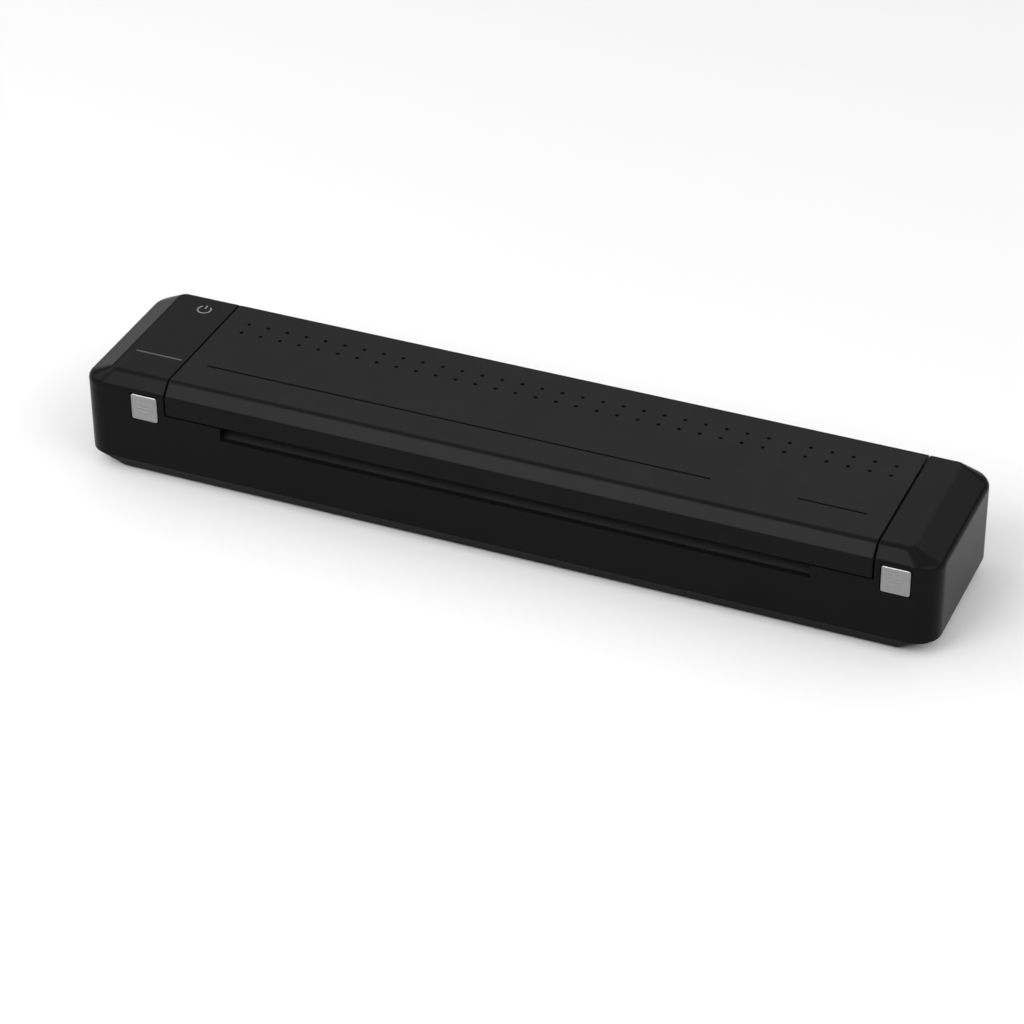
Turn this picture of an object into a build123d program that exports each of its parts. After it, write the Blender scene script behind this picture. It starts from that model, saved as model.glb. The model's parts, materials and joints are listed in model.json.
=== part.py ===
from build123d import *
import os
from math import acos, atan2, cos, hypot, pi, radians, sin, sqrt, tan

# Portable A4 thermal printer: a long bar-shaped case with a hinged top cover.
# Frame: millimetres, +Z up, +X along the length to the user's right, -Y towards the user,
# origin on the table under the middle of the case. Every piece is one STEP in parts/.

# ---------------------------------------------------------------- driving dimensions
LENGTH = 311.3
DEPTH = 63.2
HEIGHT = 40.0
FOOT_PROUD = 0.8  # how far the rubber feet hold the case off the table
WALL = 2.0
CORNER_R = 8.5  # upright corners of the case
CREASE_R = 2.5  # corners of the flat top and of the flat bottom

TOP_END_BEVEL = 10.25  # sloping band round the top: its width at the ends,
TOP_SIDE_BEVEL = 4.2  # its width along front and back,
TOP_BEVEL_DROP = 4.8  # and its height
BOTTOM_END_BEVEL = 11.7
BOTTOM_SIDE_BEVEL = 3.0
BOTTOM_BEVEL_RISE = 5.3
EDGE_R = 2.4  # softened edge between top face and band
SHOULDER_R = 2.4  # softened edge between band and upright walls of the end caps
BOTTOM_EDGE_R = 1.0

COVER_LEFT = -122.9  # middle of the seam left of the cover
COVER_RIGHT = 133.75
SEAM = 0.5
SEAM_R = 0.35  # rounding of the edges along the seams
LIP_Z = 28.0  # lower edge of the cover's front lip and of its rear skirt
SLOT_Z = 22.6  # lower edge of the paper exit and of the paper entry
PARTING_GAP = 0.15

# ---------------------------------------------------------------- levels and places
SPLIT_Z = FOOT_PROUD + BOTTOM_BEVEL_RISE
SHOULDER_Z = HEIGHT - TOP_BEVEL_DROP
ROOF_Z = HEIGHT - WALL  # underside of the top skin
FLOOR_Z = FOOT_PROUD + WALL  # upper side of the bottom skin
FRONT_Y = -DEPTH / 2
REAR_Y = DEPTH / 2
COVER_MID = (COVER_LEFT + COVER_RIGHT) / 2
COVER_SPAN = COVER_RIGHT - COVER_LEFT - SEAM
COVER_MIN_X = COVER_LEFT + SEAM / 2
COVER_MAX_X = COVER_RIGHT - SEAM / 2
BAY_MIN_X = COVER_LEFT - SEAM / 2
BAY_MAX_X = COVER_RIGHT + SEAM / 2
BULKHEAD = 2.2
SLOT_LENGTH = 214.4
SLOT_MIN_X = COVER_MID - SLOT_LENGTH / 2
SLOT_MAX_X = COVER_MID + SLOT_LENGTH / 2

HINGE_Y, HINGE_Z = 27.8, 28.3
HINGE_PIN_R = 1.5
HINGE_PIN_LENGTH = 9.4
KNUCKLE_R = 3.8
KNUCKLE_LENGTH = 3.8
RUNNING_GAP = 0.05  # radial clearance of a shaft or pin that turns

PAPER_Z = 26.1
PLATEN_R = 7.0
PLATEN_LENGTH = 216.0
PLATEN_Y, PLATEN_Z = -12.0, 19.0
SHAFT_R = 2.5
STUB_R = 1.5  # thinner end of the shaft, which passes beside the large idler wheel
BUSH_R = 4.5

BUTTON_SIZE = 9.95
BUTTON_Z = 29.0
BUTTON_PROUD = 0.3
BUTTON_X = {"left": -130.85, "right": 141.45}
BUTTON_GAP = 0.4
BUTTON_CORNER, BUTTON_RIM = 0.8, 0.2
BUTTON_TRAVEL = 2.0

KEY_X, KEY_Y = -133.05, 19.6
KEY_R = 5.5
KEY_GAP = 0.06
INDICATOR_X = (-142.45, -124.8)
MARK_Y = -14.0  # the line that the indicator and both grooves lie on
MARK_WIDTH = 0.7
GROOVES = ((-114.6, 71.3), (101.7, 125.5))
GROOVE_WIDTH, GROOVE_DEPTH = 0.8, 0.6

VENT_COLUMNS, VENT_PITCH = 33, 7.48
VENT_ROWS = (10.4, 16.4)
VENT_R = 0.72
VENT_SHIFT = 0.65  # of the vents from the middle of the cover

MODULE = 0.6
PLATEN_TEETH, IDLER_SMALL_TEETH, IDLER_LARGE_TEETH, PINION_TEETH = 28, 14, 34, 14
MOTOR_Y, MOTOR_Z = 14.0, 12.0
MOTOR_R, MOTOR_LENGTH = 8.5, 16.0
GEAR_PLANE_1, GEAR_1_WIDTH = 138.0, 3.0  # motor pinion and large idler wheel
GEAR_PLANE_2, GEAR_2_WIDTH = 141.6, 4.0  # small idler wheel and platen gear
IDLER_AXLE_R = 1.25

CELL_R, CELL_LENGTH = 9.1, 65.0
CELL_Y, CELL_Z = 15.5, 12.3
CELL_START_X = -22.0

BOARD_X, BOARD_Y = (-150.0, -62.0), (-3.0, 19.0)
BOARD_Z, BOARD_THICK = 7.2, 1.4
RIBBON_X = (-114.5, -102.5)

HEAD_PIVOT_Y, HEAD_PIVOT_Z = 5.0, 34.0
HEAD_MIN_X, HEAD_MAX_X = COVER_MID - 111.0, COVER_MID + 111.0
HEAD_FACE_Z = 26.3
HEAD_PIN_R = 1.5
HORN_X = ((HEAD_MIN_X - 3.4, HEAD_MIN_X - 0.4), (HEAD_MAX_X + 0.4, HEAD_MAX_X + 3.4))
HEAD_TAB_Y = (9.2, 13.0)  # tongue of the head's board that carries the ribbon's socket
SPRING_Y = -9.0
SPRING_SPACING = 55.5

CASE_SCREWS = ((-139.5, -25.0), (-139.5, 25.0), (139.5, -25.0), (139.5, 25.0),
               (-62.0, -26.2), (72.0, -26.2), (-40.0, 26.2), (115.0, 26.2))
DECK_SCREWS = ((-112.0, -26.4), (122.2, -26.4), (-112.0, 26.4), (122.2, 26.4))
GUIDE_SCREWS = ((-95.0, -25.0), (COVER_MID, -25.0), (105.0, -25.0),
                (-95.0, 21.5), (COVER_MID, 21.5), (105.0, 21.5))
BOARD_SCREWS = ((-144.0, 0.5), (-144.0, 15.5), (-66.0, 0.5), (-66.0, 15.5))
KEY_BOARD_SCREWS = ((-135.0, -6.0), (-135.0, 9.0))
FEET = ((-127.0, -21.0), (127.0, -21.0), (-127.0, 21.0), (127.0, 21.0))
FOOT_LENGTH, FOOT_WIDTH, FOOT_CORNER_R = 16.0, 7.0, 3.0
FOOT_SINK = 0.5  # how deep each foot sits in its pocket

os.makedirs("parts", exist_ok=True)


def save(builder, label):
    """Labels a finished piece and writes it as one STEP."""
    builder.part.label = label
    export_step(builder.part, f"parts/{label}.step")


def block(x, y, z, mode=Mode.ADD):
    """A box between two limits along each axis, added to the piece being built."""
    centre = ((x[0] + x[1]) / 2, (y[0] + y[1]) / 2, (z[0] + z[1]) / 2)
    with Locations(centre):
        Box(x[1] - x[0], y[1] - y[0], z[1] - z[0], mode=mode)


def rod(x, y, z, radius, mode=Mode.ADD):
    """A cylinder along X between two x limits."""
    with Locations(Location(((x[0] + x[1]) / 2, y, z), (0, 90, 0))):
        Cylinder(radius, x[1] - x[0], mode=mode)


def post(x, y, z, radius, mode=Mode.ADD):
    """An upright cylinder between two z limits."""
    with Locations((x, y, (z[0] + z[1]) / 2)):
        Cylinder(radius, z[1] - z[0], mode=mode)


def mirrored(side, near, far):
    """X limits that are measured outwards from the cover's bay on one side."""
    if side == "left":
        return (BAY_MIN_X - far, BAY_MIN_X - near)
    return (BAY_MAX_X + near, BAY_MAX_X + far)


# ---------------------------------------------------------------- case forms
def case_form(inset, bottom):
    """The case above the parting line as one closed form, drawn in by inset."""
    shoulder = SHOULDER_Z - 0.55 * inset
    width, depth = LENGTH - 2 * inset, DEPTH - 2 * inset
    top_width = LENGTH - 2 * TOP_END_BEVEL - 0.9 * inset
    top_depth = DEPTH - 2 * TOP_SIDE_BEVEL - 0.9 * inset
    with BuildPart() as form:
        with BuildSketch(Plane.XY.offset(bottom)):
            RectangleRounded(width, depth, CORNER_R - inset)
        extrude(amount=shoulder - bottom)
        with BuildSketch(Plane.XY.offset(shoulder)):
            RectangleRounded(width, depth, CORNER_R - inset)
        with BuildSketch(Plane.XY.offset(HEIGHT - inset)):
            RectangleRounded(top_width, top_depth, CREASE_R)
        loft(ruled=True)
        if inset == 0:
            rims = form.edges().filter_by(lambda e: e.bounding_box().size.Z < 0.01)
            fillet([e for e in rims if e.center().Z > HEIGHT - 0.01], EDGE_R)
            rims = form.edges().filter_by(lambda e: e.bounding_box().size.Z < 0.01)
            fillet([e for e in rims if abs(e.center().Z - shoulder) < 0.01], SHOULDER_R)
    return form.part


def cover_section(inset):
    """Corner points of the cover's cross-section, as (y, z), drawn in by inset."""
    half_top = DEPTH / 2 - TOP_SIDE_BEVEL - 0.45 * inset
    half = DEPTH / 2 - inset
    shoulder = SHOULDER_Z - 0.4 * inset
    top = HEIGHT - inset
    low = LIP_Z - (1.0 if inset else 0.0)
    return [(-half, low), (-half, shoulder), (-half_top, top),
            (half_top, top), (half, shoulder), (half, low)]


outer_case = case_form(0.0, SPLIT_Z + PARTING_GAP)
inner_case = case_form(WALL, SPLIT_Z - 1.0)


def hollow(x):
    """The part of the case's hollow between two x limits."""
    with BuildPart() as room:
        add(inner_case)
        block(x, (FRONT_Y, REAR_Y), (0.0, HEIGHT), mode=Mode.INTERSECT)
    return room.part


# the two bulkheads are what stays between these three chambers
chambers = [hollow((-LENGTH / 2, BAY_MIN_X - BULKHEAD)), hollow((BAY_MIN_X, BAY_MAX_X)),
            hollow((BAY_MAX_X + BULKHEAD, LENGTH / 2))]

# ---------------------------------------------------------------- upper housing
KEY_BOARD_Z = (33.6, 34.6)
KEY_POST_R, KEY_PILOT_R = 2.0, 0.8
LATCH_WINDOW_Y, LATCH_WINDOW_Z = (-20.0, -14.0), (29.0, 31.8)
LATCH_SEAT_Y, LATCH_SEAT_Z = (-7.0, -5.5), (28.7, 33.0)
RISER_TOP_Z = LIP_Z - SEAM
BOSS_R, BOSS_TOP_Z = 3.0, 17.0
CASE_PILOT_R, CASE_PILOT_TOP_Z = 1.0, 15.0  # thread holes of the case screws
LEDGE_Z = (17.6, 20.6)
DECK_PILOT_R = 0.9
MOTOR_PORT_R = 3.5
DECK_LEDGES = DECK_SCREWS + ((COVER_MID, -27.4), (COVER_MID, 27.4))
LEDGE_HALF_WIDTH, LEDGE_REACH_Y = 3.0, 24.0
CHEEK_THICK, CHEEK_DEPTH = 1.5, 4.2  # small cheeks beside the paper exit
WIRE_PORT_Y, WIRE_PORT_TOP_Z = (-5.0, 21.0), 13.5
SOCKET_Y, SOCKET_Z = 8.0, 10.3
SOCKET_SIZE, SOCKET_CORNER_R = (8.9, 3.2), 1.5
SOCKET_GAP = 0.2

with BuildPart() as upper_housing:
    add(outer_case)
    # the open bay under the cover, with rounded edges where the two seams run
    block((BAY_MIN_X, BAY_MAX_X), (FRONT_Y - 1, REAR_Y + 1), (RISER_TOP_Z, HEIGHT + 1),
          mode=Mode.SUBTRACT)
    seam_faces = [f for f in upper_housing.faces().filter_by(Axis.X)
                  if abs(f.center().X - COVER_MID) < COVER_SPAN / 2 + SEAM + 0.1]
    seam_edges = [e for f in seam_faces for e in f.edges() if e.center().Z > RISER_TOP_Z + 0.1]
    fillet(seam_edges, SEAM_R)
    for chamber in chambers:
        add(chamber, mode=Mode.SUBTRACT)
    # paper exit in the front wall, which rises to the lip beside it, and the open rear
    block((SLOT_MIN_X, SLOT_MAX_X), (FRONT_Y - 1, 0.0), (SLOT_Z, HEIGHT), mode=Mode.SUBTRACT)
    block((BAY_MIN_X, BAY_MAX_X), (0.0, REAR_Y + 1), (SLOT_Z, HEIGHT), mode=Mode.SUBTRACT)
    for x in ((SLOT_MIN_X - CHEEK_THICK, SLOT_MIN_X), (SLOT_MAX_X, SLOT_MAX_X + CHEEK_THICK)):
        block(x, (FRONT_Y + WALL, FRONT_Y + WALL + CHEEK_DEPTH), (SLOT_Z + 2.9, RISER_TOP_Z))
    # bosses for the case screws, and ledges that carry the paper deck
    for x, y in CASE_SCREWS:
        post(x, y, (SPLIT_Z + PARTING_GAP, BOSS_TOP_Z), BOSS_R)
        wall_y = (FRONT_Y + 1, y) if y < 0 else (y, REAR_Y - 1)
        block((x - 1, x + 1), wall_y, (SPLIT_Z + PARTING_GAP, BOSS_TOP_Z))
    for x, y in DECK_LEDGES:
        wall_y = (FRONT_Y + 1, -LEDGE_REACH_Y) if y < 0 else (LEDGE_REACH_Y, REAR_Y - 1)
        block((x - LEDGE_HALF_WIDTH, x + LEDGE_HALF_WIDTH), wall_y, LEDGE_Z)
    # seats that the latch springs push against
    for side in BUTTON_X:
        block(mirrored(side, BULKHEAD - 0.2, 8.0), LATCH_SEAT_Y, LATCH_SEAT_Z)
    for x, y in CASE_SCREWS:
        post(x, y, (SPLIT_Z, CASE_PILOT_TOP_Z), CASE_PILOT_R, mode=Mode.SUBTRACT)
    for x, y in DECK_SCREWS:
        post(x, y, (LEDGE_Z[0] - 0.6, LEDGE_Z[1] + 0.4), DECK_PILOT_R, mode=Mode.SUBTRACT)
    # holes through the bulkheads: platen bushes, hinge pins, latch hooks
    for side in BUTTON_X:
        wall_x = mirrored(side, -0.5, BULKHEAD + 0.5)
        rod(wall_x, PLATEN_Y, PLATEN_Z, BUSH_R, mode=Mode.SUBTRACT)
        rod(wall_x, HINGE_Y, HINGE_Z, HINGE_PIN_R, mode=Mode.SUBTRACT)
        block(wall_x, LATCH_WINDOW_Y, LATCH_WINDOW_Z, mode=Mode.SUBTRACT)
    rod(mirrored("right", -0.5, BULKHEAD + 0.5), MOTOR_Y, MOTOR_Z, MOTOR_PORT_R,
        mode=Mode.SUBTRACT)
    block(mirrored("left", -0.5, BULKHEAD + 0.5), WIRE_PORT_Y, (SPLIT_Z, WIRE_PORT_TOP_Z),
          mode=Mode.SUBTRACT)
    # windows of the two push buttons
    for button_x in BUTTON_X.values():
        half = BUTTON_SIZE / 2 + BUTTON_GAP
        block((button_x - half, button_x + half), (FRONT_Y - 1, FRONT_Y + WALL + 0.5),
              (BUTTON_Z - half, BUTTON_Z + half), mode=Mode.SUBTRACT)
    # power key, indicator slot and charging socket
    post(KEY_X, KEY_Y, (ROOF_Z - 1, HEIGHT + 1), KEY_R + KEY_GAP, mode=Mode.SUBTRACT)
    block(INDICATOR_X, (MARK_Y - MARK_WIDTH / 2, MARK_Y + MARK_WIDTH / 2),
          (ROOF_Z, HEIGHT + 1), mode=Mode.SUBTRACT)
    with BuildSketch(Plane.YZ.offset(-LENGTH / 2 - 1)):
        with Locations((SOCKET_Y, SOCKET_Z)):
            RectangleRounded(SOCKET_SIZE[0] + 2 * SOCKET_GAP, SOCKET_SIZE[1] + 2 * SOCKET_GAP,
                             SOCKET_CORNER_R + SOCKET_GAP)
    extrude(amount=WALL + 2, mode=Mode.SUBTRACT)
    for x, y in KEY_BOARD_SCREWS:
        post(x, y, (KEY_BOARD_Z[1], ROOF_Z + 0.5), KEY_POST_R)
        post(x, y, (KEY_BOARD_Z[0], ROOF_Z - 0.2), KEY_PILOT_R, mode=Mode.SUBTRACT)
save(upper_housing, "upper_housing")

# ---------------------------------------------------------------- bottom cover
BOARD_POST_R, BOARD_PILOT_R = 2.2, 0.8
CRADLES_X, CRADLE_HALF_WIDTH, CRADLE_TOP_Z = (-14.0, 30.0, 56.0, 100.0), 8.0, 8.0
SHANK_HOLE_R, HEAD_HOLE_R, HEAD_HOLE_DEPTH = 1.1, 2.1, 1.6
FOOT_GAP = 0.2

with BuildPart() as bottom_cover:
    with BuildSketch(Plane.XY.offset(FOOT_PROUD)):
        RectangleRounded(LENGTH - 2 * BOTTOM_END_BEVEL, DEPTH - 2 * BOTTOM_SIDE_BEVEL, CREASE_R)
    with BuildSketch(Plane.XY.offset(SPLIT_Z)):
        RectangleRounded(LENGTH, DEPTH, CORNER_R)
    loft(ruled=True)
    fillet(bottom_cover.faces().sort_by(Axis.Z)[0].edges(), BOTTOM_EDGE_R)
    with BuildSketch(Plane.XY.offset(FLOOR_Z)):
        RectangleRounded(LENGTH - 2 * BOTTOM_END_BEVEL - 2, DEPTH - 2 * BOTTOM_SIDE_BEVEL - 3, 2.0)
    with BuildSketch(Plane.XY.offset(SPLIT_Z + 0.01)):
        RectangleRounded(LENGTH - 2 * WALL, DEPTH - 2 * WALL, CORNER_R - WALL)
    loft(ruled=True, mode=Mode.SUBTRACT)
    for x, y in CASE_SCREWS:
        post(x, y, (FLOOR_Z - 0.5, SPLIT_Z + PARTING_GAP), BOSS_R)
    for x, y in BOARD_SCREWS:
        post(x, y, (FLOOR_Z - 0.5, BOARD_Z), BOARD_POST_R)
        post(x, y, (FLOOR_Z + 0.6, BOARD_Z + 1), BOARD_PILOT_R, mode=Mode.SUBTRACT)
    # cradles under the two battery cells
    for x in CRADLES_X:
        block((x - 1, x + 1), (CELL_Y - CRADLE_HALF_WIDTH, CELL_Y + CRADLE_HALF_WIDTH),
              (FLOOR_Z - 0.5, CRADLE_TOP_Z))
    rod((CELL_START_X, CELL_START_X + 2 * CELL_LENGTH + 1), CELL_Y, CELL_Z, CELL_R + 0.1,
        mode=Mode.SUBTRACT)
    for x, y in CASE_SCREWS:
        post(x, y, (FOOT_PROUD - 1, SPLIT_Z + 1), SHANK_HOLE_R, mode=Mode.SUBTRACT)
        post(x, y, (FOOT_PROUD - 1, FOOT_PROUD + HEAD_HOLE_DEPTH), HEAD_HOLE_R,
             mode=Mode.SUBTRACT)
    for x, y in FEET:
        with BuildSketch(Plane.XY.offset(FOOT_PROUD)):
            with Locations((x, y)):
                RectangleRounded(FOOT_LENGTH + 2 * FOOT_GAP, FOOT_WIDTH + 2 * FOOT_GAP,
                                 FOOT_CORNER_R + FOOT_GAP)
        extrude(amount=FOOT_SINK, mode=Mode.SUBTRACT)
save(bottom_cover, "bottom_cover")

with BuildPart() as rubber_feet:
    for x, y in FEET:
        with BuildSketch():
            with Locations((x, y)):
                RectangleRounded(FOOT_LENGTH, FOOT_WIDTH, FOOT_CORNER_R)
        extrude(amount=FOOT_PROUD + FOOT_SINK)
    chamfer(rubber_feet.faces().sort_by(Axis.Z)[:4].edges(), 0.25)
save(rubber_feet, "rubber_feet")


SCREW_HEAD_R = 1.9


def screw(x, y, head_z, shank_z, head_h, shank_r, downwards):
    """A recessed-head screw: head_z is the outer face of the head."""
    step = -1 if downwards else 1
    inner_z = head_z + step * head_h
    post(x, y, sorted((head_z, inner_z)), SCREW_HEAD_R)
    post(x, y, sorted((inner_z, shank_z)), shank_r)
    with BuildSketch(Plane.XY.offset(head_z)) as recess:
        with Locations((x, y)):
            RegularPolygon(SCREW_HEAD_R * 0.5, 6)
    extrude(recess.sketch, amount=step * head_h * 0.6, mode=Mode.SUBTRACT)


with BuildPart() as case_screws:
    for x, y in CASE_SCREWS:
        screw(x, y, FOOT_PROUD + 0.3, 13.0, 1.3, 0.95, downwards=False)
save(case_screws, "case_screws")

# ---------------------------------------------------------------- paper deck
DECK_X = (BAY_MIN_X + 3.0, BAY_MAX_X - 3.0)
DECK_TOP_Z, DECK_LOW_Z, DECK_LIP_Z = 25.2, 20.6, 22.8
DECK_THICK = 2.0
DECK_Y, DECK_FLAT_Y = 29.3, 24.6  # half depths of the whole deck and of its flat top
DECK_FRONT_LEG_Y, DECK_REAR_LEG_Y = -21.5, 23.6  # inner faces of its two thick edges
DECK_HEAD_Z = 22.2  # seat of the deck screws
RIB_HEIGHT, RIB_WIDTH, RIB_PITCH, RIB_COUNT = 0.5, 1.0, 14.0, 16
FRONT_RIB_Y, REAR_RIB_Y = -22.2, 10.6
HORN_HALF_WIDTH, HORN_TOP_Z = 3.4, 36.6
PLATEN_WINDOW_X, PLATEN_WINDOW_Y = 110.0, 7.8  # half sizes
SENSOR_X, SENSOR_Y = (38.2, 44.2), (-1.7, 2.3)

with BuildPart() as paper_deck:
    with BuildSketch(Plane.YZ.offset(DECK_X[0])):
        Polygon([(-DECK_Y, DECK_LOW_Z), (-DECK_Y, DECK_LIP_Z), (-DECK_FLAT_Y, DECK_TOP_Z),
                 (DECK_FLAT_Y, DECK_TOP_Z), (DECK_Y, DECK_LIP_Z), (DECK_Y, DECK_LOW_Z),
                 (DECK_REAR_LEG_Y, DECK_LOW_Z), (DECK_REAR_LEG_Y, DECK_TOP_Z - DECK_THICK),
                 (DECK_FRONT_LEG_Y, DECK_TOP_Z - DECK_THICK), (DECK_FRONT_LEG_Y, DECK_LOW_Z)],
                align=None)
    extrude(amount=DECK_X[1] - DECK_X[0])
    # two upright horns that carry the print head's pivot pins
    for x in HORN_X:
        block(x, (HEAD_PIVOT_Y - HORN_HALF_WIDTH, HEAD_PIVOT_Y + HORN_HALF_WIDTH),
              (DECK_LOW_Z, HORN_TOP_Z))
        rod(x, HEAD_PIVOT_Y, HEAD_PIVOT_Z, HEAD_PIN_R + RUNNING_GAP, mode=Mode.SUBTRACT)
    # paper ribs on both sides of the platen
    for rib_y, rib_length in ((FRONT_RIB_Y, 3.6), (REAR_RIB_Y, 24.0)):
        with Locations((COVER_MID, rib_y, DECK_TOP_Z)):
            with GridLocations(RIB_PITCH, 1, RIB_COUNT, 1):
                Box(RIB_WIDTH, rib_length, 2 * RIB_HEIGHT)
    # the platen's window
    block((COVER_MID - PLATEN_WINDOW_X, COVER_MID + PLATEN_WINDOW_X),
          (PLATEN_Y - PLATEN_WINDOW_Y, PLATEN_Y + PLATEN_WINDOW_Y),
          (DECK_LOW_Z - 1, DECK_TOP_Z + 1), mode=Mode.SUBTRACT)
    # corners cut away for the hinge knuckles, and a slot for the head's ribbon
    for x in ((DECK_X[0] - 1, COVER_MIN_X + KNUCKLE_LENGTH + 0.8),
              (COVER_MAX_X - KNUCKLE_LENGTH - 0.8, DECK_X[1] + 1)):
        block(x, (22.6, 30.0), (DECK_LOW_Z - 1, DECK_TOP_Z + 1), mode=Mode.SUBTRACT)
    block((RIBBON_X[0] - 0.8, RIBBON_X[1] + 0.2), (20.4, 23.4),
          (DECK_LOW_Z - 1, DECK_TOP_Z + 1), mode=Mode.SUBTRACT)
    block((SENSOR_X[0] - 0.2, SENSOR_X[1] + 0.2), (SENSOR_Y[0] - 0.2, SENSOR_Y[1] + 0.2),
          (DECK_LOW_Z - 1, DECK_TOP_Z + 1), mode=Mode.SUBTRACT)
    for x, y in DECK_SCREWS:
        post(x, y, (DECK_LOW_Z - 1, DECK_TOP_Z), 1.1, mode=Mode.SUBTRACT)
        post(x, y, (DECK_HEAD_Z, DECK_TOP_Z + 1), 2.2, mode=Mode.SUBTRACT)
save(paper_deck, "paper_deck")

with BuildPart() as deck_screws:
    for x, y in DECK_SCREWS:
        screw(x, y, DECK_HEAD_Z + 1.2, 18.2, 1.2, 0.85, downwards=True)
save(deck_screws, "deck_screws")

with BuildPart() as paper_sensor:
    block(SENSOR_X, SENSOR_Y, (DECK_LOW_Z - 0.2, DECK_TOP_Z - 0.2))
    # its two windows, one for the light and one for the eye
    for x in (SENSOR_X[0] + 1.7, SENSOR_X[1] - 1.7):
        post(x, sum(SENSOR_Y) / 2, (DECK_TOP_Z - 0.5, DECK_TOP_Z), 0.7, mode=Mode.SUBTRACT)
save(paper_sensor, "paper_sensor")

# ---------------------------------------------------------------- top cover
NOTCH_Y = (-21.0, -13.6)
CATCH_TIP_Y = -19.8
CATCH_TOP_Z, NOTCH_TOP_Z = LIP_Z + 0.9, LIP_Z + 4.2
PEG_R, PEG_LOW_Z = 1.4, 35.4
GUIDE_POST_R, GUIDE_PILOT_R = 2.4, 0.9
GUIDE_TOP_Z = LIP_Z + 1.6
SPRINGS = [COVER_MID + n * SPRING_SPACING for n in (-1.5, -0.5, 0.5, 1.5)]

with BuildPart() as top_cover:
    with BuildSketch(Plane.YZ.offset(COVER_MIN_X)) as skin:
        Polygon(cover_section(0.0), align=None)
        # in this sketch Y is the height
        fillet([v for v in skin.vertices() if v.Y > LIP_Z + 1], EDGE_R)
        fillet([v for v in skin.vertices() if v.Y < LIP_Z + 0.1], SEAM_R)
    extrude(amount=COVER_SPAN)
    fillet(top_cover.faces().filter_by(Axis.X).edges(), SEAM_R)
    with BuildSketch(Plane.YZ.offset(COVER_MIN_X + WALL)):
        Polygon(cover_section(WALL), align=None)
    extrude(amount=COVER_SPAN - 2 * WALL, mode=Mode.SUBTRACT)
    # hinge knuckles
    for x in ((COVER_MIN_X, COVER_MIN_X + KNUCKLE_LENGTH),
              (COVER_MAX_X - KNUCKLE_LENGTH, COVER_MAX_X)):
        rod(x, HINGE_Y, HINGE_Z, KNUCKLE_R)
        rod(x, HINGE_Y, HINGE_Z, HINGE_PIN_R + RUNNING_GAP, mode=Mode.SUBTRACT)
    # notches for the latch hooks, each with its catch
    for x in ((COVER_MIN_X, COVER_MIN_X + WALL), (COVER_MAX_X - WALL, COVER_MAX_X)):
        block(x, NOTCH_Y, (LIP_Z - 1, NOTCH_TOP_Z), mode=Mode.SUBTRACT)
        block(x, (NOTCH_Y[0], CATCH_TIP_Y), (LIP_Z, CATCH_TOP_Z))
    # spring pegs and screw bosses
    for x in SPRINGS:
        post(x, SPRING_Y, (PEG_LOW_Z, ROOF_Z + 0.5), PEG_R)
    for x, y in GUIDE_SCREWS:
        post(x, y, (GUIDE_TOP_Z, ROOF_Z + 0.5), GUIDE_POST_R)
        post(x, y, (GUIDE_TOP_Z - 1, ROOF_Z - 1.5), GUIDE_PILOT_R, mode=Mode.SUBTRACT)
    # outside: two fine grooves and two rows of vent holes
    for x in GROOVES:
        block(x, (MARK_Y - GROOVE_WIDTH / 2, MARK_Y + GROOVE_WIDTH / 2),
              (HEIGHT - GROOVE_DEPTH, HEIGHT + 1), mode=Mode.SUBTRACT)
    with Locations((COVER_MID + VENT_SHIFT, sum(VENT_ROWS) / 2, HEIGHT - WALL / 2)):
        with GridLocations(VENT_PITCH, VENT_ROWS[1] - VENT_ROWS[0], VENT_COLUMNS, 2):
            Cylinder(VENT_R, WALL + 1, mode=Mode.SUBTRACT)
save(top_cover, "top_cover")

# ---------------------------------------------------------------- guide inside the cover
GUIDE_WINDOW_X, GUIDE_WINDOW_Y = (HEAD_MIN_X - 4.0, HEAD_MAX_X + 4.0), (-19.6, 11.6)
GUIDE_CUT_Z = (LIP_Z - 1, GUIDE_TOP_Z + 1)
GUIDE_RIBS_Y, GUIDE_RIB_LENGTH, GUIDE_RIB_HEIGHT = (-25.0, 19.0), 6.0, 0.6
TAB_MAX_X = COVER_MID - 103.0  # end of the tongue on the head's board

with BuildPart() as upper_guide:
    block((COVER_MIN_X + WALL + 0.2, COVER_MAX_X - WALL - 0.2), (-DECK_Y, DECK_Y),
          (LIP_Z, GUIDE_TOP_Z))
    for rib_y in GUIDE_RIBS_Y:
        with Locations((COVER_MID, rib_y, LIP_Z)):
            with GridLocations(RIB_PITCH, 1, RIB_COUNT, 1):
                Box(RIB_WIDTH, GUIDE_RIB_LENGTH, 2 * GUIDE_RIB_HEIGHT)
    # window for the head and its tongue
    block(GUIDE_WINDOW_X, GUIDE_WINDOW_Y, GUIDE_CUT_Z, mode=Mode.SUBTRACT)
    block((GUIDE_WINDOW_X[0], TAB_MAX_X + 1), (GUIDE_WINDOW_Y[1] - 0.6, HEAD_TAB_Y[1] + 0.5),
          GUIDE_CUT_Z, mode=Mode.SUBTRACT)
    # corners cut away for the hinge knuckles, the latch hooks and the head's ribbon
    block((COVER_MIN_X, SLOT_MIN_X), (-2.0, 30.0), GUIDE_CUT_Z, mode=Mode.SUBTRACT)
    block((SLOT_MAX_X, COVER_MAX_X), (22.6, 30.0), GUIDE_CUT_Z, mode=Mode.SUBTRACT)
    for x, y in GUIDE_SCREWS:
        post(x, y, GUIDE_CUT_Z, SHANK_HOLE_R, mode=Mode.SUBTRACT)
        post(x, y, (LIP_Z - 1, LIP_Z + 0.8), HEAD_HOLE_R, mode=Mode.SUBTRACT)
save(upper_guide, "upper_guide")

with BuildPart() as guide_screws:
    for x, y in GUIDE_SCREWS:
        screw(x, y, LIP_Z - 0.1, ROOF_Z - 3.0, 0.9, 0.85, downwards=False)
save(guide_screws, "guide_screws")

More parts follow.
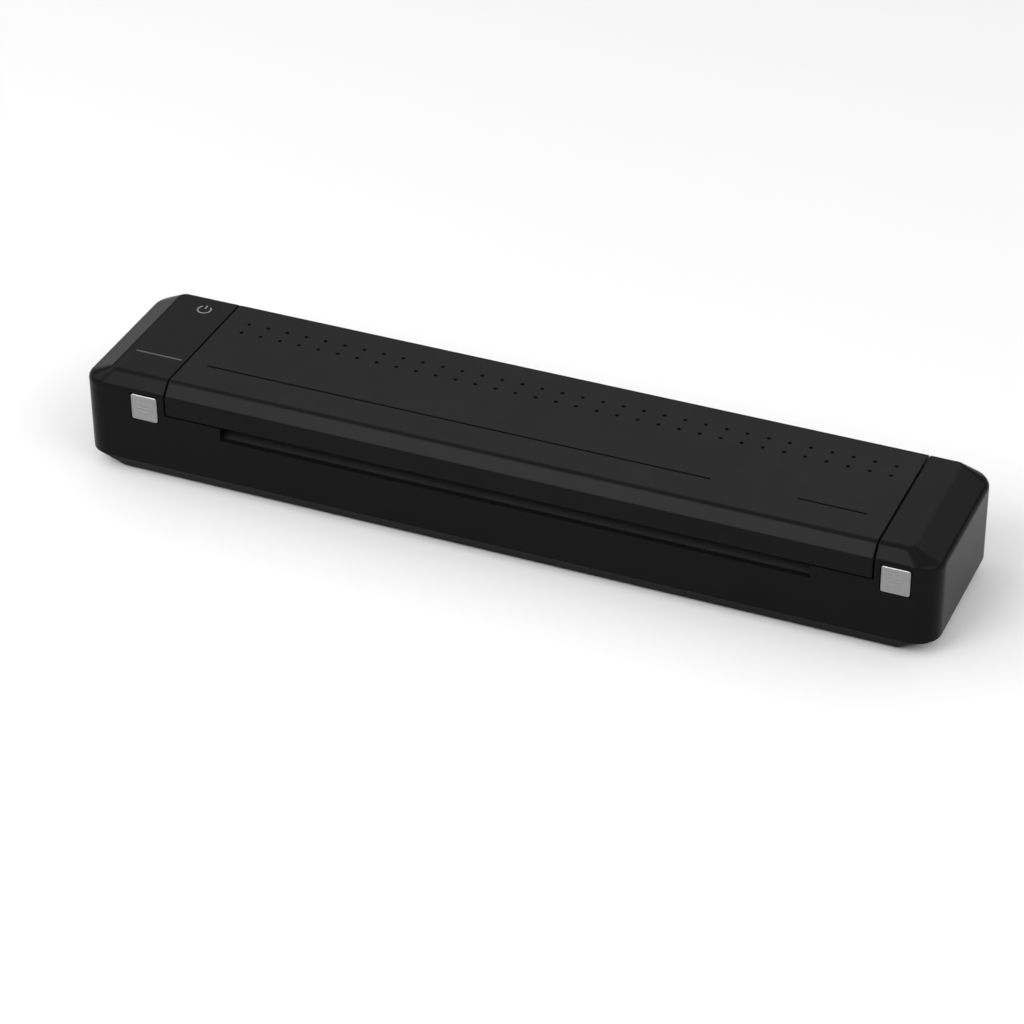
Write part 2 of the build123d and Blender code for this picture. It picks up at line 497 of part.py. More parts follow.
# ---------------------------------------------------------------- print head
SINK_Y, SINK_STEP_Y = (-16.5, 8.0), -2.0  # the heating plate lies in front of the step
SINK_LOW_Z, SINK_TOP_Z, FIN_TOP_Z = 27.2, 31.0, 34.2
FINS_Y, FIN_THICK = (-15.7, -3.8, -1.0), 1.2
PIVOT_BAR_WIDTH, PIVOT_BAR_TOP_Z = 4.2, 36.2
HEAD_BOARD_Z = (27.0, 28.1)
HEATER_HALF, DRIVER_HALF = 109.0, 104.0

with BuildPart() as heat_sink:
    with BuildSketch(Plane.YZ.offset(HEAD_MIN_X)):
        Polygon([(SINK_Y[0], SINK_LOW_Z), (SINK_STEP_Y, SINK_LOW_Z),
                 (SINK_STEP_Y, HEAD_BOARD_Z[1]), (SINK_Y[1], HEAD_BOARD_Z[1]),
                 (SINK_Y[1], SINK_TOP_Z), (SINK_Y[0], SINK_TOP_Z)], align=None)
        for fin_y in FINS_Y:
            with Locations((fin_y, (SINK_TOP_Z + FIN_TOP_Z) / 2)):
                Rectangle(FIN_THICK, FIN_TOP_Z - SINK_TOP_Z)
        with Locations((HEAD_PIVOT_Y, (SINK_TOP_Z + PIVOT_BAR_TOP_Z) / 2)):
            Rectangle(PIVOT_BAR_WIDTH, PIVOT_BAR_TOP_Z - SINK_TOP_Z)
    extrude(amount=HEAD_MAX_X - HEAD_MIN_X)
    for x in ((HEAD_MIN_X - 1, HEAD_MIN_X + 8), (HEAD_MAX_X - 8, HEAD_MAX_X + 1)):
        rod(x, HEAD_PIVOT_Y, HEAD_PIVOT_Z, HEAD_PIN_R, mode=Mode.SUBTRACT)
save(heat_sink, "heat_sink")

with BuildPart() as head_pivot_pins:
    for x in ((HORN_X[0][0] - 0.6, HEAD_MIN_X + 7), (HEAD_MAX_X - 7, HORN_X[1][1] + 0.6)):
        rod(x, HEAD_PIVOT_Y, HEAD_PIVOT_Z, HEAD_PIN_R)
save(head_pivot_pins, "head_pivot_pins")

with BuildPart() as thermal_head:
    block((COVER_MID - HEATER_HALF, COVER_MID + HEATER_HALF), (SINK_Y[0] + 0.5, SINK_STEP_Y - 0.2),
          (HEAD_FACE_Z, SINK_LOW_Z))
    # the glazed line of heating dots
    block((COVER_MID - HEATER_HALF + 1, COVER_MID + HEATER_HALF - 1),
          (PLATEN_Y - 0.7, PLATEN_Y + 0.7), (HEAD_FACE_Z - 0.1, HEAD_FACE_Z + 0.2))
save(thermal_head, "thermal_head")

with BuildPart() as head_board:
    block((COVER_MID - HEATER_HALF, COVER_MID + HEATER_HALF), (SINK_STEP_Y + 0.1, SINK_Y[1]),
          HEAD_BOARD_Z)
    block((RIBBON_X[0] - 0.5, TAB_MAX_X), HEAD_TAB_Y, HEAD_BOARD_Z)
    block((COVER_MID - HEATER_HALF, TAB_MAX_X), (SINK_Y[1] - 1, HEAD_TAB_Y[1]), HEAD_BOARD_Z)
save(head_board, "head_board")

with BuildPart() as driver_strip:
    block((COVER_MID - DRIVER_HALF, COVER_MID + DRIVER_HALF), (-1.7, 2.6),
          (HEAD_BOARD_Z[0] - 0.4, HEAD_BOARD_Z[0]))
    chamfer(driver_strip.faces().sort_by(Axis.Z)[0].edges(), 0.25)
save(driver_strip, "driver_strip")

with BuildPart() as head_socket:
    block(RIBBON_X, (HEAD_TAB_Y[0] + 0.2, HEAD_TAB_Y[1] - 0.2),
          (HEAD_BOARD_Z[1], HEAD_BOARD_Z[1] + 2.1))
    block((RIBBON_X[0] + 0.8, RIBBON_X[1] - 0.8), (HEAD_TAB_Y[1] - 1.8, HEAD_TAB_Y[1]),
          (HEAD_BOARD_Z[1] + 0.8, HEAD_BOARD_Z[1] + 1.5), mode=Mode.SUBTRACT)
save(head_socket, "head_socket")


def coil(start, direction, length, radius, wire_r, turns):
    """A compression spring of round wire that runs from start along direction."""
    pitch = (length - 2 * wire_r) / turns
    centre = Vector(*start) + Vector(*direction) * wire_r
    with BuildPart() as spring:
        with BuildLine() as path:
            Helix(pitch, length - 2 * wire_r, radius, center=centre, direction=direction)
        with BuildSketch(Plane(origin=path.line @ 0, z_dir=path.line % 0)):
            Circle(wire_r)
        sweep()
    return spring.part


with BuildPart() as head_springs:
    for x in SPRINGS:
        add(coil((x, SPRING_Y, SINK_TOP_Z + 0.05), (0, 0, 1), ROOF_Z - SINK_TOP_Z - 0.1,
                 2.0, 0.3, 5))
save(head_springs, "head_springs")

# ---------------------------------------------------------------- platen roller
ROLLER_MIN_X = COVER_MID - PLATEN_LENGTH / 2
ROLLER_MAX_X = COVER_MID + PLATEN_LENGTH / 2
STUB_START_X = BAY_MAX_X + BULKHEAD + 0.8

with BuildPart() as platen_rubber:
    rod((ROLLER_MIN_X, ROLLER_MAX_X), PLATEN_Y, PLATEN_Z, PLATEN_R)
    rod((ROLLER_MIN_X - 1, ROLLER_MAX_X + 1), PLATEN_Y, PLATEN_Z, SHAFT_R + 1.0,
        mode=Mode.SUBTRACT)
save(platen_rubber, "platen_rubber")

with BuildPart() as platen_shaft:
    rod((ROLLER_MIN_X, ROLLER_MAX_X), PLATEN_Y, PLATEN_Z, SHAFT_R + 1.0)
    rod((BAY_MIN_X - BULKHEAD - 3.6, STUB_START_X), PLATEN_Y, PLATEN_Z, SHAFT_R)
    rod((STUB_START_X, GEAR_PLANE_2 + GEAR_2_WIDTH + 2.4), PLATEN_Y, PLATEN_Z, STUB_R)
    chamfer(platen_shaft.faces().sort_by(Axis.X)[0].edges(), 0.4)
    chamfer(platen_shaft.faces().sort_by(Axis.X)[-1].edges(), 0.4)
save(platen_shaft, "platen_shaft")

with BuildPart() as platen_bushes:
    for side in BUTTON_X:
        rod(mirrored(side, 0.0, BULKHEAD), PLATEN_Y, PLATEN_Z, BUSH_R)
        rod(mirrored(side, -1.0, 0.0), PLATEN_Y, PLATEN_Z, BUSH_R + 1.2)
        rod(mirrored(side, -2.0, BULKHEAD + 1), PLATEN_Y, PLATEN_Z, SHAFT_R + RUNNING_GAP,
            mode=Mode.SUBTRACT)
save(platen_bushes, "platen_bushes")

with BuildPart() as platen_clips:
    for start_x, radius in ((BAY_MIN_X - BULKHEAD - 2.2, SHAFT_R),
                            (GEAR_PLANE_2 + GEAR_2_WIDTH + 0.4, STUB_R)):
        x = (start_x, start_x + 0.8)
        rod(x, PLATEN_Y, PLATEN_Z, radius + 1.9)
        rod(x, PLATEN_Y, PLATEN_Z, radius, mode=Mode.SUBTRACT)
        block(x, (PLATEN_Y - 0.6 * radius, PLATEN_Y + 0.6 * radius),
              (PLATEN_Z - radius - 3.0, PLATEN_Z), mode=Mode.SUBTRACT)
save(platen_clips, "platen_clips")

# ---------------------------------------------------------------- gear train
PRESSURE_ANGLE = radians(20)
BACKLASH = 0.14
ADDENDUM, DEDENDUM = 0.9, 1.25


def mesh_centre(a, b, reach_a, reach_b):
    """The point at given distances from two axes, on the upper side of their line."""
    gap = hypot(b[0] - a[0], b[1] - a[1])
    along = (reach_a ** 2 - reach_b ** 2 + gap ** 2) / (2 * gap)
    off = sqrt(reach_a ** 2 - along ** 2)
    ux, uy = (b[0] - a[0]) / gap, (b[1] - a[1]) / gap
    return (a[0] + along * ux - off * uy, a[1] + along * uy + off * ux)


def bearing(a, b):
    """Direction of b seen from a, in radians."""
    return atan2(b[1] - a[1], b[0] - a[0])


def gear_outline(teeth, centre, tooth_at):
    """Involute tooth outline as points round a centre, with one tooth aimed at tooth_at."""
    pitch_r = MODULE * teeth / 2
    base_r = pitch_r * cos(PRESSURE_ANGLE)
    root_r, tip_r = pitch_r - DEDENDUM * MODULE, pitch_r + ADDENDUM * MODULE
    inv_pitch = tan(PRESSURE_ANGLE) - PRESSURE_ANGLE
    flank = []
    for step in range(4):
        r = max(root_r, base_r) + (tip_r - max(root_r, base_r)) * step / 3
        angle = acos(min(1.0, base_r / r))
        half = pi / (2 * teeth) + inv_pitch - (tan(angle) - angle) - BACKLASH / (2 * pitch_r)
        flank.append((r, half))
    flank.insert(0, (root_r, flank[0][1]))
    points = []
    for tooth in range(teeth):
        middle = tooth_at + 2 * pi * tooth / teeth
        for r, half in flank:
            points.append((r, middle - half))
        for r, half in reversed(flank):
            points.append((r, middle + half))
    return [(centre[0] + r * cos(t), centre[1] + r * sin(t)) for r, t in points]


def gear_wheel(teeth, centre, tooth_at, start_x, width):
    """A spur wheel along X, added to the piece being built."""
    with BuildSketch(Plane.YZ.offset(start_x)) as outline:
        Polygon(gear_outline(teeth, centre, tooth_at), align=None)
    extrude(outline.sketch, amount=width)


PLATEN_AXIS, MOTOR_AXIS = (PLATEN_Y, PLATEN_Z), (MOTOR_Y, MOTOR_Z)
IDLER_AXIS = mesh_centre(PLATEN_AXIS, MOTOR_AXIS,
                         MODULE * (PLATEN_TEETH + IDLER_SMALL_TEETH) / 2,
                         MODULE * (PINION_TEETH + IDLER_LARGE_TEETH) / 2)

with BuildPart() as platen_gear:
    gear_wheel(PLATEN_TEETH, PLATEN_AXIS, bearing(PLATEN_AXIS, IDLER_AXIS), GEAR_PLANE_2,
               GEAR_2_WIDTH)
    rod((GEAR_PLANE_2 - 1, GEAR_PLANE_2 + GEAR_2_WIDTH + 1), PLATEN_Y, PLATEN_Z, STUB_R,
        mode=Mode.SUBTRACT)
save(platen_gear, "platen_gear")

with BuildPart() as idler_gear:
    gear_wheel(IDLER_LARGE_TEETH, IDLER_AXIS, bearing(IDLER_AXIS, MOTOR_AXIS), GEAR_PLANE_1,
               GEAR_1_WIDTH)
    rod((GEAR_PLANE_1 + GEAR_1_WIDTH, GEAR_PLANE_2), *IDLER_AXIS, 3.4)
    gear_wheel(IDLER_SMALL_TEETH, IDLER_AXIS,
               bearing(IDLER_AXIS, PLATEN_AXIS) + pi / IDLER_SMALL_TEETH, GEAR_PLANE_2,
               GEAR_2_WIDTH)
    rod((GEAR_PLANE_1 - 1, GEAR_PLANE_2 + GEAR_2_WIDTH + 1), *IDLER_AXIS,
        IDLER_AXLE_R + RUNNING_GAP, mode=Mode.SUBTRACT)
save(idler_gear, "idler_gear")

MOTOR_SHAFT_R = 1.0
MOTOR_FACE_X = BAY_MAX_X
MOTOR_BACK_X = MOTOR_FACE_X - MOTOR_LENGTH

with BuildPart() as motor_pinion:
    gear_wheel(PINION_TEETH, MOTOR_AXIS,
               bearing(MOTOR_AXIS, IDLER_AXIS) + pi / PINION_TEETH, GEAR_PLANE_1, GEAR_1_WIDTH)
    rod((GEAR_PLANE_1 - 1, GEAR_PLANE_1 + GEAR_1_WIDTH + 1), MOTOR_Y, MOTOR_Z, MOTOR_SHAFT_R,
        mode=Mode.SUBTRACT)
save(motor_pinion, "motor_pinion")

with BuildPart() as motor_shaft:
    rod((MOTOR_FACE_X - 5, GEAR_PLANE_1 + GEAR_1_WIDTH + 0.4), MOTOR_Y, MOTOR_Z, MOTOR_SHAFT_R)
save(motor_shaft, "motor_shaft")

MOTOR_EARS = 11.0  # from the motor's axis to each ear screw
MOTOR_FLANGE = 0.8
MOTOR_NOSE_R, MOTOR_NOSE = 3.0, 1.6

with BuildPart() as stepper_motor:
    rod((MOTOR_BACK_X, MOTOR_FACE_X - MOTOR_FLANGE), MOTOR_Y, MOTOR_Z, MOTOR_R)
    fillet(stepper_motor.faces().sort_by(Axis.X)[0].edges(), 0.8)
    with BuildSketch(Plane.YZ.offset(MOTOR_FACE_X - MOTOR_FLANGE)):
        with Locations((MOTOR_Y, MOTOR_Z)):
            SlotOverall(2 * MOTOR_EARS + 6, 6)
            Circle(MOTOR_R)
    extrude(amount=MOTOR_FLANGE)
    rod((MOTOR_FACE_X, MOTOR_FACE_X + MOTOR_NOSE), MOTOR_Y, MOTOR_Z, MOTOR_NOSE_R)
    rod((MOTOR_FACE_X - 5.4, MOTOR_FACE_X + 2), MOTOR_Y, MOTOR_Z, MOTOR_SHAFT_R + RUNNING_GAP,
        mode=Mode.SUBTRACT)
    for side in (-1, 1):
        rod((MOTOR_FACE_X - 1, MOTOR_FACE_X + 0.2), MOTOR_Y + side * MOTOR_EARS, MOTOR_Z, 1.0,
            mode=Mode.SUBTRACT)
save(stepper_motor, "stepper_motor")

with BuildPart() as motor_screws:
    for side in (-1, 1):
        rod((MOTOR_FACE_X - MOTOR_FLANGE - 1.2, MOTOR_FACE_X - MOTOR_FLANGE),
            MOTOR_Y + side * MOTOR_EARS, MOTOR_Z, 1.7)
        rod((MOTOR_FACE_X - MOTOR_FLANGE, MOTOR_FACE_X), MOTOR_Y + side * MOTOR_EARS, MOTOR_Z, 0.95)
save(motor_screws, "motor_screws")

DRIVE_PLATE_X = mirrored("right", BULKHEAD, BULKHEAD + 1.2)
DRIVE_PLATE_Y, DRIVE_PLATE_Z, DRIVE_PLATE_CORNER = (-18.5, 22.0), (9.0, 27.2), 2.5
DRIVE_HOLES_X = mirrored("right", BULKHEAD - 1, BULKHEAD + 2)

with BuildPart() as drive_plate:
    block(DRIVE_PLATE_X, DRIVE_PLATE_Y, DRIVE_PLATE_Z)
    fillet(drive_plate.edges().filter_by(Axis.X), DRIVE_PLATE_CORNER)
    rod(DRIVE_HOLES_X, PLATEN_Y, PLATEN_Z, BUSH_R, mode=Mode.SUBTRACT)
    rod(DRIVE_HOLES_X, MOTOR_Y, MOTOR_Z + 0.6, 4.6, mode=Mode.SUBTRACT)
    rod(DRIVE_HOLES_X, *IDLER_AXIS, IDLER_AXLE_R, mode=Mode.SUBTRACT)
save(drive_plate, "drive_plate")

with BuildPart() as idler_axle:
    rod((DRIVE_PLATE_X[0], GEAR_PLANE_2 + GEAR_2_WIDTH + 0.3), *IDLER_AXIS, IDLER_AXLE_R)
    rod((GEAR_PLANE_2 + GEAR_2_WIDTH + 0.3, GEAR_PLANE_2 + GEAR_2_WIDTH + 1.0), *IDLER_AXIS, 2.2)
save(idler_axle, "idler_axle")

with BuildPart() as hinge_pins:
    for side in BUTTON_X:
        rod(mirrored(side, -HINGE_PIN_LENGTH / 2, HINGE_PIN_LENGTH / 2), HINGE_Y, HINGE_Z,
            HINGE_PIN_R)
save(hinge_pins, "hinge_pins")

# ---------------------------------------------------------------- push buttons and latches
HOOK_Y, HOOK_Z = (-19.5, -16.5), (29.4, 31.4)
SLIDE_PLATE_END_Y, SLIDE_PLATE_Z = -22.0, (24.0, 33.2)
SLIDE_END_Y, SLIDE_ARM_Z = -15.2, (29.2, 31.8)
SLIDE_NEAR, SLIDE_FAR = 4.8, 5.6  # half widths towards the end and towards the cover
LATCH_SPRING_END_Y, LATCH_SPRING_Z = -7.1, 30.5

for side, button_x in BUTTON_X.items():
    half = BUTTON_SIZE / 2
    back_y = FRONT_Y + WALL + 1.0
    with BuildPart() as push_button:
        block((button_x - half, button_x + half), (FRONT_Y - BUTTON_PROUD, back_y),
              (BUTTON_Z - half, BUTTON_Z + half))
        fillet(push_button.edges().filter_by(Axis.Y), BUTTON_CORNER)
        chamfer(push_button.faces().sort_by(Axis.Y)[0].edges(), BUTTON_RIM)
    save(push_button, f"{side}_push_button")

    if side == "left":
        plate_x = (button_x - SLIDE_FAR, button_x + SLIDE_NEAR)
    else:
        plate_x = (button_x - SLIDE_NEAR, button_x + SLIDE_FAR)
    with BuildPart() as latch_slide:
        block(plate_x, (back_y, SLIDE_PLATE_END_Y), SLIDE_PLATE_Z)
        block((button_x - 4.0, button_x + 4.0), (SLIDE_PLATE_END_Y, SLIDE_END_Y), SLIDE_ARM_Z)
        block(mirrored(side, -2.0, 6.0), HOOK_Y, HOOK_Z)
    save(latch_slide, f"{side}_latch_slide")

    with BuildPart() as latch_spring:
        add(coil((button_x, SLIDE_END_Y + 0.05, LATCH_SPRING_Z), (0, 1, 0),
                 LATCH_SPRING_END_Y - SLIDE_END_Y, 1.6, 0.25, 6))
    save(latch_spring, f"{side}_latch_spring")

# ---------------------------------------------------------------- power key and indicator
KEY_FLANGE_R = KEY_R + 1.0
KEY_STEM_R, KEY_STEM_Z = 1.5, 36.95
KEY_FLANGE_Z = KEY_STEM_Z + 0.3
SWITCH_HALF, SWITCH_TOP_Z = 2.6, 36.2
GUIDE_FIT = 0.03  # clearance of the light guide in its slot
LAMP_X = (-135.6, -132.4)

with BuildPart() as power_key:
    post(KEY_X, KEY_Y, (ROOF_Z - 0.05, HEIGHT), KEY_R)
    post(KEY_X, KEY_Y, (KEY_FLANGE_Z, ROOF_Z - 0.05), KEY_FLANGE_R)
    post(KEY_X, KEY_Y, (KEY_STEM_Z, KEY_FLANGE_Z), KEY_STEM_R)
save(power_key, "power_key")

with BuildPart() as key_board:
    block((-143.0, -127.0), (-18.0, 26.0), KEY_BOARD_Z)
    for x, y in KEY_BOARD_SCREWS:
        post(x, y, (KEY_BOARD_Z[0] - 0.6, KEY_BOARD_Z[1] + 0.4), 1.0, mode=Mode.SUBTRACT)
save(key_board, "key_board")

with BuildPart() as key_board_screws:
    for x, y in KEY_BOARD_SCREWS:
        post(x, y, (KEY_BOARD_Z[0] - 1.0, KEY_BOARD_Z[0]), 1.7)
        post(x, y, (KEY_BOARD_Z[0], ROOF_Z - 1.2), 0.75)
save(key_board_screws, "key_board_screws")

with BuildPart() as tact_switch:
    block((KEY_X - SWITCH_HALF, KEY_X + SWITCH_HALF), (KEY_Y - SWITCH_HALF, KEY_Y + SWITCH_HALF),
          (KEY_BOARD_Z[1], SWITCH_TOP_Z))
    post(KEY_X, KEY_Y, (SWITCH_TOP_Z, SWITCH_TOP_Z + 0.3), 1.2)
save(tact_switch, "tact_switch")

with BuildPart() as status_led:
    block(LAMP_X, (MARK_Y - 0.8, MARK_Y + 0.8), (KEY_BOARD_Z[1], KEY_BOARD_Z[1] + 0.9))
save(status_led, "status_led")

with BuildPart() as light_guide:
    half = MARK_WIDTH / 2 - GUIDE_FIT
    block((INDICATOR_X[0] + GUIDE_FIT, INDICATOR_X[1] - GUIDE_FIT), (MARK_Y - half, MARK_Y + half),
          (ROOF_Z, HEIGHT))
    # flat foot under the roof, and the nose that catches the lamp's light
    block((INDICATOR_X[0] + 0.6, BAY_MIN_X - BULKHEAD - 0.3), (MARK_Y - 1.6, MARK_Y + 1.6),
          (ROOF_Z - 1.4, ROOF_Z))
    block((LAMP_X[0] + 0.2, LAMP_X[1] - 0.2), (MARK_Y - 0.8, MARK_Y + 0.8),
          (ROOF_Z - 2.3, ROOF_Z - 1.4))
save(light_guide, "light_guide")

# ---------------------------------------------------------------- battery and electronics
with BuildPart() as battery_cells:
    for n in range(2):
        start = CELL_START_X + n * (CELL_LENGTH + 0.4)
        rod((start, start + CELL_LENGTH), CELL_Y, CELL_Z, CELL_R)
    fillet(battery_cells.edges().filter_by(GeomType.CIRCLE), 0.7)
save(battery_cells, "battery_cells")

with BuildPart() as main_board:
    block(BOARD_X, BOARD_Y, (BOARD_Z, BOARD_Z + BOARD_THICK))
    for x, y in BOARD_SCREWS:
        post(x, y, (BOARD_Z - 1, BOARD_Z + 3), 1.0, mode=Mode.SUBTRACT)
save(main_board, "main_board")

BOARD_TOP_Z = BOARD_Z + BOARD_THICK

with BuildPart() as board_screws:
    for x, y in BOARD_SCREWS:
        post(x, y, (BOARD_TOP_Z, BOARD_TOP_Z + 1.1), 1.7)
        post(x, y, (4.0, BOARD_TOP_Z), 0.75)
save(board_screws, "board_screws")

with BuildPart() as board_parts:
    block((-98.0, -82.0), (2.0, 14.0), (BOARD_TOP_Z, BOARD_TOP_Z + 2.2))  # radio shield can
    block((-80.0, -72.0), (4.0, 12.0), (BOARD_TOP_Z, BOARD_TOP_Z + 1.1))  # processor
    block((-136.0, -129.0), (8.0, 15.0), (BOARD_TOP_Z, BOARD_TOP_Z + 3.0))  # inductor
    post(-134.0, 2.0, (BOARD_TOP_Z, BOARD_TOP_Z + 6.0), 3.1)  # capacitor
    block((-70.0, -64.0), (4.0, 12.0), (BOARD_TOP_Z, BOARD_TOP_Z + 4.0))  # battery plug
    block((-120.0, -98.5), (-2.6, 0.8), (BOARD_TOP_Z, BOARD_TOP_Z + 4.0))  # motor plug
save(board_parts, "board_parts")

with BuildPart() as ribbon_socket:
    block(RIBBON_X, (14.6, 18.4), (BOARD_TOP_Z, BOARD_TOP_Z + 2.4))
    block((RIBBON_X[0] + 0.8, RIBBON_X[1] - 0.8), (17.0, 18.6),
          (BOARD_TOP_Z + 1.0, BOARD_TOP_Z + 1.8), mode=Mode.SUBTRACT)
save(ribbon_socket, "ribbon_socket")

SOCKET_LENGTH, SOCKET_SHEET, TONGUE_THICK = 7.2, 0.3, 0.7

with BuildPart() as usb_socket:
    with BuildSketch(Plane.YZ.offset(-LENGTH / 2 + 0.3)):
        with Locations((SOCKET_Y, SOCKET_Z)):
            RectangleRounded(*SOCKET_SIZE, SOCKET_CORNER_R)
    extrude(amount=SOCKET_LENGTH)
    with BuildSketch(Plane.YZ.offset(-LENGTH / 2 + 0.3)):
        with Locations((SOCKET_Y, SOCKET_Z)):
            RectangleRounded(SOCKET_SIZE[0] - 2 * SOCKET_SHEET, SOCKET_SIZE[1] - 2 * SOCKET_SHEET,
                             SOCKET_CORNER_R - SOCKET_SHEET)
    extrude(amount=SOCKET_LENGTH - 0.8, mode=Mode.SUBTRACT)
    block((-LENGTH / 2 + 1.4, -LENGTH / 2 + SOCKET_LENGTH - 0.2), (SOCKET_Y - 3.3, SOCKET_Y + 3.3),
          (SOCKET_Z - TONGUE_THICK / 2, SOCKET_Z + TONGUE_THICK / 2))
save(usb_socket, "usb_socket")

# flat ribbon from the main board to the head, passing in front of the hinge line
RIBBON_THICK = 0.3
RIBBON_LOW_Z, RIBBON_HIGH_Z, RIBBON_BACK_Y = BOARD_TOP_Z + 1.4, HEAD_BOARD_Z[1] + 1.15, 22.0
RIBBON_ROUTE = [(17.2, RIBBON_LOW_Z), (RIBBON_BACK_Y, RIBBON_LOW_Z),
                (RIBBON_BACK_Y, RIBBON_HIGH_Z), (HEAD_TAB_Y[1] - 1.2, RIBBON_HIGH_Z)]

with BuildPart() as head_ribbon:
    with BuildSketch(Plane.YZ.offset(RIBBON_X[0] + 1.0)):
        with BuildLine():
            FilletPolyline(*RIBBON_ROUTE, radius=2.2)
        trace(line_width=RIBBON_THICK)
    extrude(amount=RIBBON_X[1] - RIBBON_X[0] - 2.0)
save(head_ribbon, "head_ribbon")


def lead(points, radius, radii):
    """A round lead along straight runs joined by tangent arcs."""
    with BuildPart() as wire:
        with BuildLine() as path:
            FilletPolyline(*points, radius=radii)
        with BuildSketch(Plane(origin=path.line @ 0, z_dir=path.line % 0)):
            Circle(radius)
        sweep()
    return wire.part


LEAD_R = 0.8
BATTERY_ROUTE = [(CELL_START_X - 0.3, CELL_Y, CELL_Z), (-34.0, CELL_Y, CELL_Z),
                 (-46.0, 8.0, BOARD_TOP_Z + 2.0), (-63.8, 8.0, BOARD_TOP_Z + 2.0)]
MOTOR_ROUTE = [(MOTOR_BACK_X - 0.25, 6.0, 9.0), (108.0, 6.0, 9.0), (98.0, -1.0, 5.0),
               (-52.0, -1.0, 5.0), (-58.0, -6.0, 5.0), (-110.0, -6.0, 5.0),
               (-110.0, -6.0, 12.0), (-110.0, -2.8, 12.0)]

with BuildPart() as battery_lead:
    add(lead(BATTERY_ROUTE, LEAD_R, 5.0))
save(battery_lead, "battery_lead")

with BuildPart() as motor_lead:
    add(lead(MOTOR_ROUTE, LEAD_R, (4.0, 4.0, 2.5, 2.5, 2.5, 1.4)))
save(motor_lead, "motor_lead")
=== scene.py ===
"""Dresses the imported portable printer: finishes, printed marks, ribs, springs and the studio."""

import json
from math import pi, radians

import bmesh
import bpy
import numpy as np
from bpy.props import FloatProperty, FloatVectorProperty, IntProperty, PointerProperty
from mathutils import Matrix, Vector


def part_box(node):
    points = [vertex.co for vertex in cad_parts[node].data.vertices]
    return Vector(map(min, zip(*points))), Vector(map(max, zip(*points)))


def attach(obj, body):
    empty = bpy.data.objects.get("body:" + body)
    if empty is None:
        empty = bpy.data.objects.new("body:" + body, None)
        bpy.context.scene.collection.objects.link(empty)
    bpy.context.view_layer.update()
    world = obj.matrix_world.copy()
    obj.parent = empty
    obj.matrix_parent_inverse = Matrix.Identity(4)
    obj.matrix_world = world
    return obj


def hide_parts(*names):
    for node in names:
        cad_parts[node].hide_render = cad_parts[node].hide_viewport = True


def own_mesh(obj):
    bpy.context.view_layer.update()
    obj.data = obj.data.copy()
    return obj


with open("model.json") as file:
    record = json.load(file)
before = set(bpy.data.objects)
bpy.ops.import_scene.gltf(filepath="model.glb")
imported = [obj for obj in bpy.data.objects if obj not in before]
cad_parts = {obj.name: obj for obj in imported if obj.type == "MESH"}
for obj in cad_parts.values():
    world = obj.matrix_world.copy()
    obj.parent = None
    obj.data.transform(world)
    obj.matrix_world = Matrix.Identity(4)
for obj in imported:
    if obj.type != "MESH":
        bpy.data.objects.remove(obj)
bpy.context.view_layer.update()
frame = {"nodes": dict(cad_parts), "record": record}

bl_info = {
    "name": "Portable printer",
    "version": (1, 0, 0),
    "blender": (4, 5, 0),
    "location": "View3D > Sidebar > Printer",
    "description": "Finishes, marks, springs and studio for a portable sheet printer",
    "category": "Object",
}

MM = 0.001
NODES = frame["nodes"]

# points of the surfaces that are worked out
ACROSS = 9  # across a printed line or a rib
RING_STEPS = 73  # along the ring of the power mark
BAR_STEPS = 9  # along its bar
RIB_STEPS = 25  # along a rib
TURN_STEPS = 40  # along one turn of a spring
WIRE_SIDES = 12  # round a spring's wire

BAR_RISE = 0.35  # how far the bar's top passes the middle of the ring, in line widths

# a spring's first and last turn are dead: they lie on each other
DEAD_TURNS = 2
DEAD_PITCH = 1.04  # rise of a dead turn, in wire thicknesses
OPENING_FROM = 0.8  # turns from the end at which the pitch starts to open
OPENING_TURNS = 0.4  # turns that the opening takes
SAME_PLACE = 1e-7  # points nearer than this, in metres, are one


# ---------------------------------------------------------------- settings
def colour(name, description, default):
    """A linear colour that a user may change."""
    return FloatVectorProperty(name=name, description=description, default=default, size=3,
                               min=0.0, max=1.0, subtype="COLOR")


def length(name, description, default):
    """A length in metres that a user may change."""
    return FloatProperty(name=name, description=description, default=default, min=0.0,
                         subtype="DISTANCE", unit="LENGTH", precision=5)


class PrinterFinish(bpy.types.PropertyGroup):
    """Colours and grain sizes of the printer's finishes."""

    case: colour("Case", "Satin black of the case and the cover", (0.0048, 0.0048, 0.0050))
    inner: colour("Inner moulding", "Black of the paper guides", (0.010, 0.010, 0.011))
    cap: colour("Button cap", "Silver of the push buttons", (0.264, 0.264, 0.268))
    mark: colour("Printed mark", "Grey of the power mark", (0.155, 0.155, 0.160))
    guide: colour("Light guide", "Grey of the unlit indicator", (0.041, 0.041, 0.043))
    rubber: colour("Rubber", "Black of the feet and the roller", (0.014, 0.014, 0.014))
    steel: colour("Steel", "Screws, pins, springs and shafts", (0.50, 0.50, 0.52))
    grain: length("Case grain", "Size of one grain of the moulded texture", 0.35 * MM)
    brush: length("Brush line", "Width of one brush line on the silver caps", 0.12 * MM)


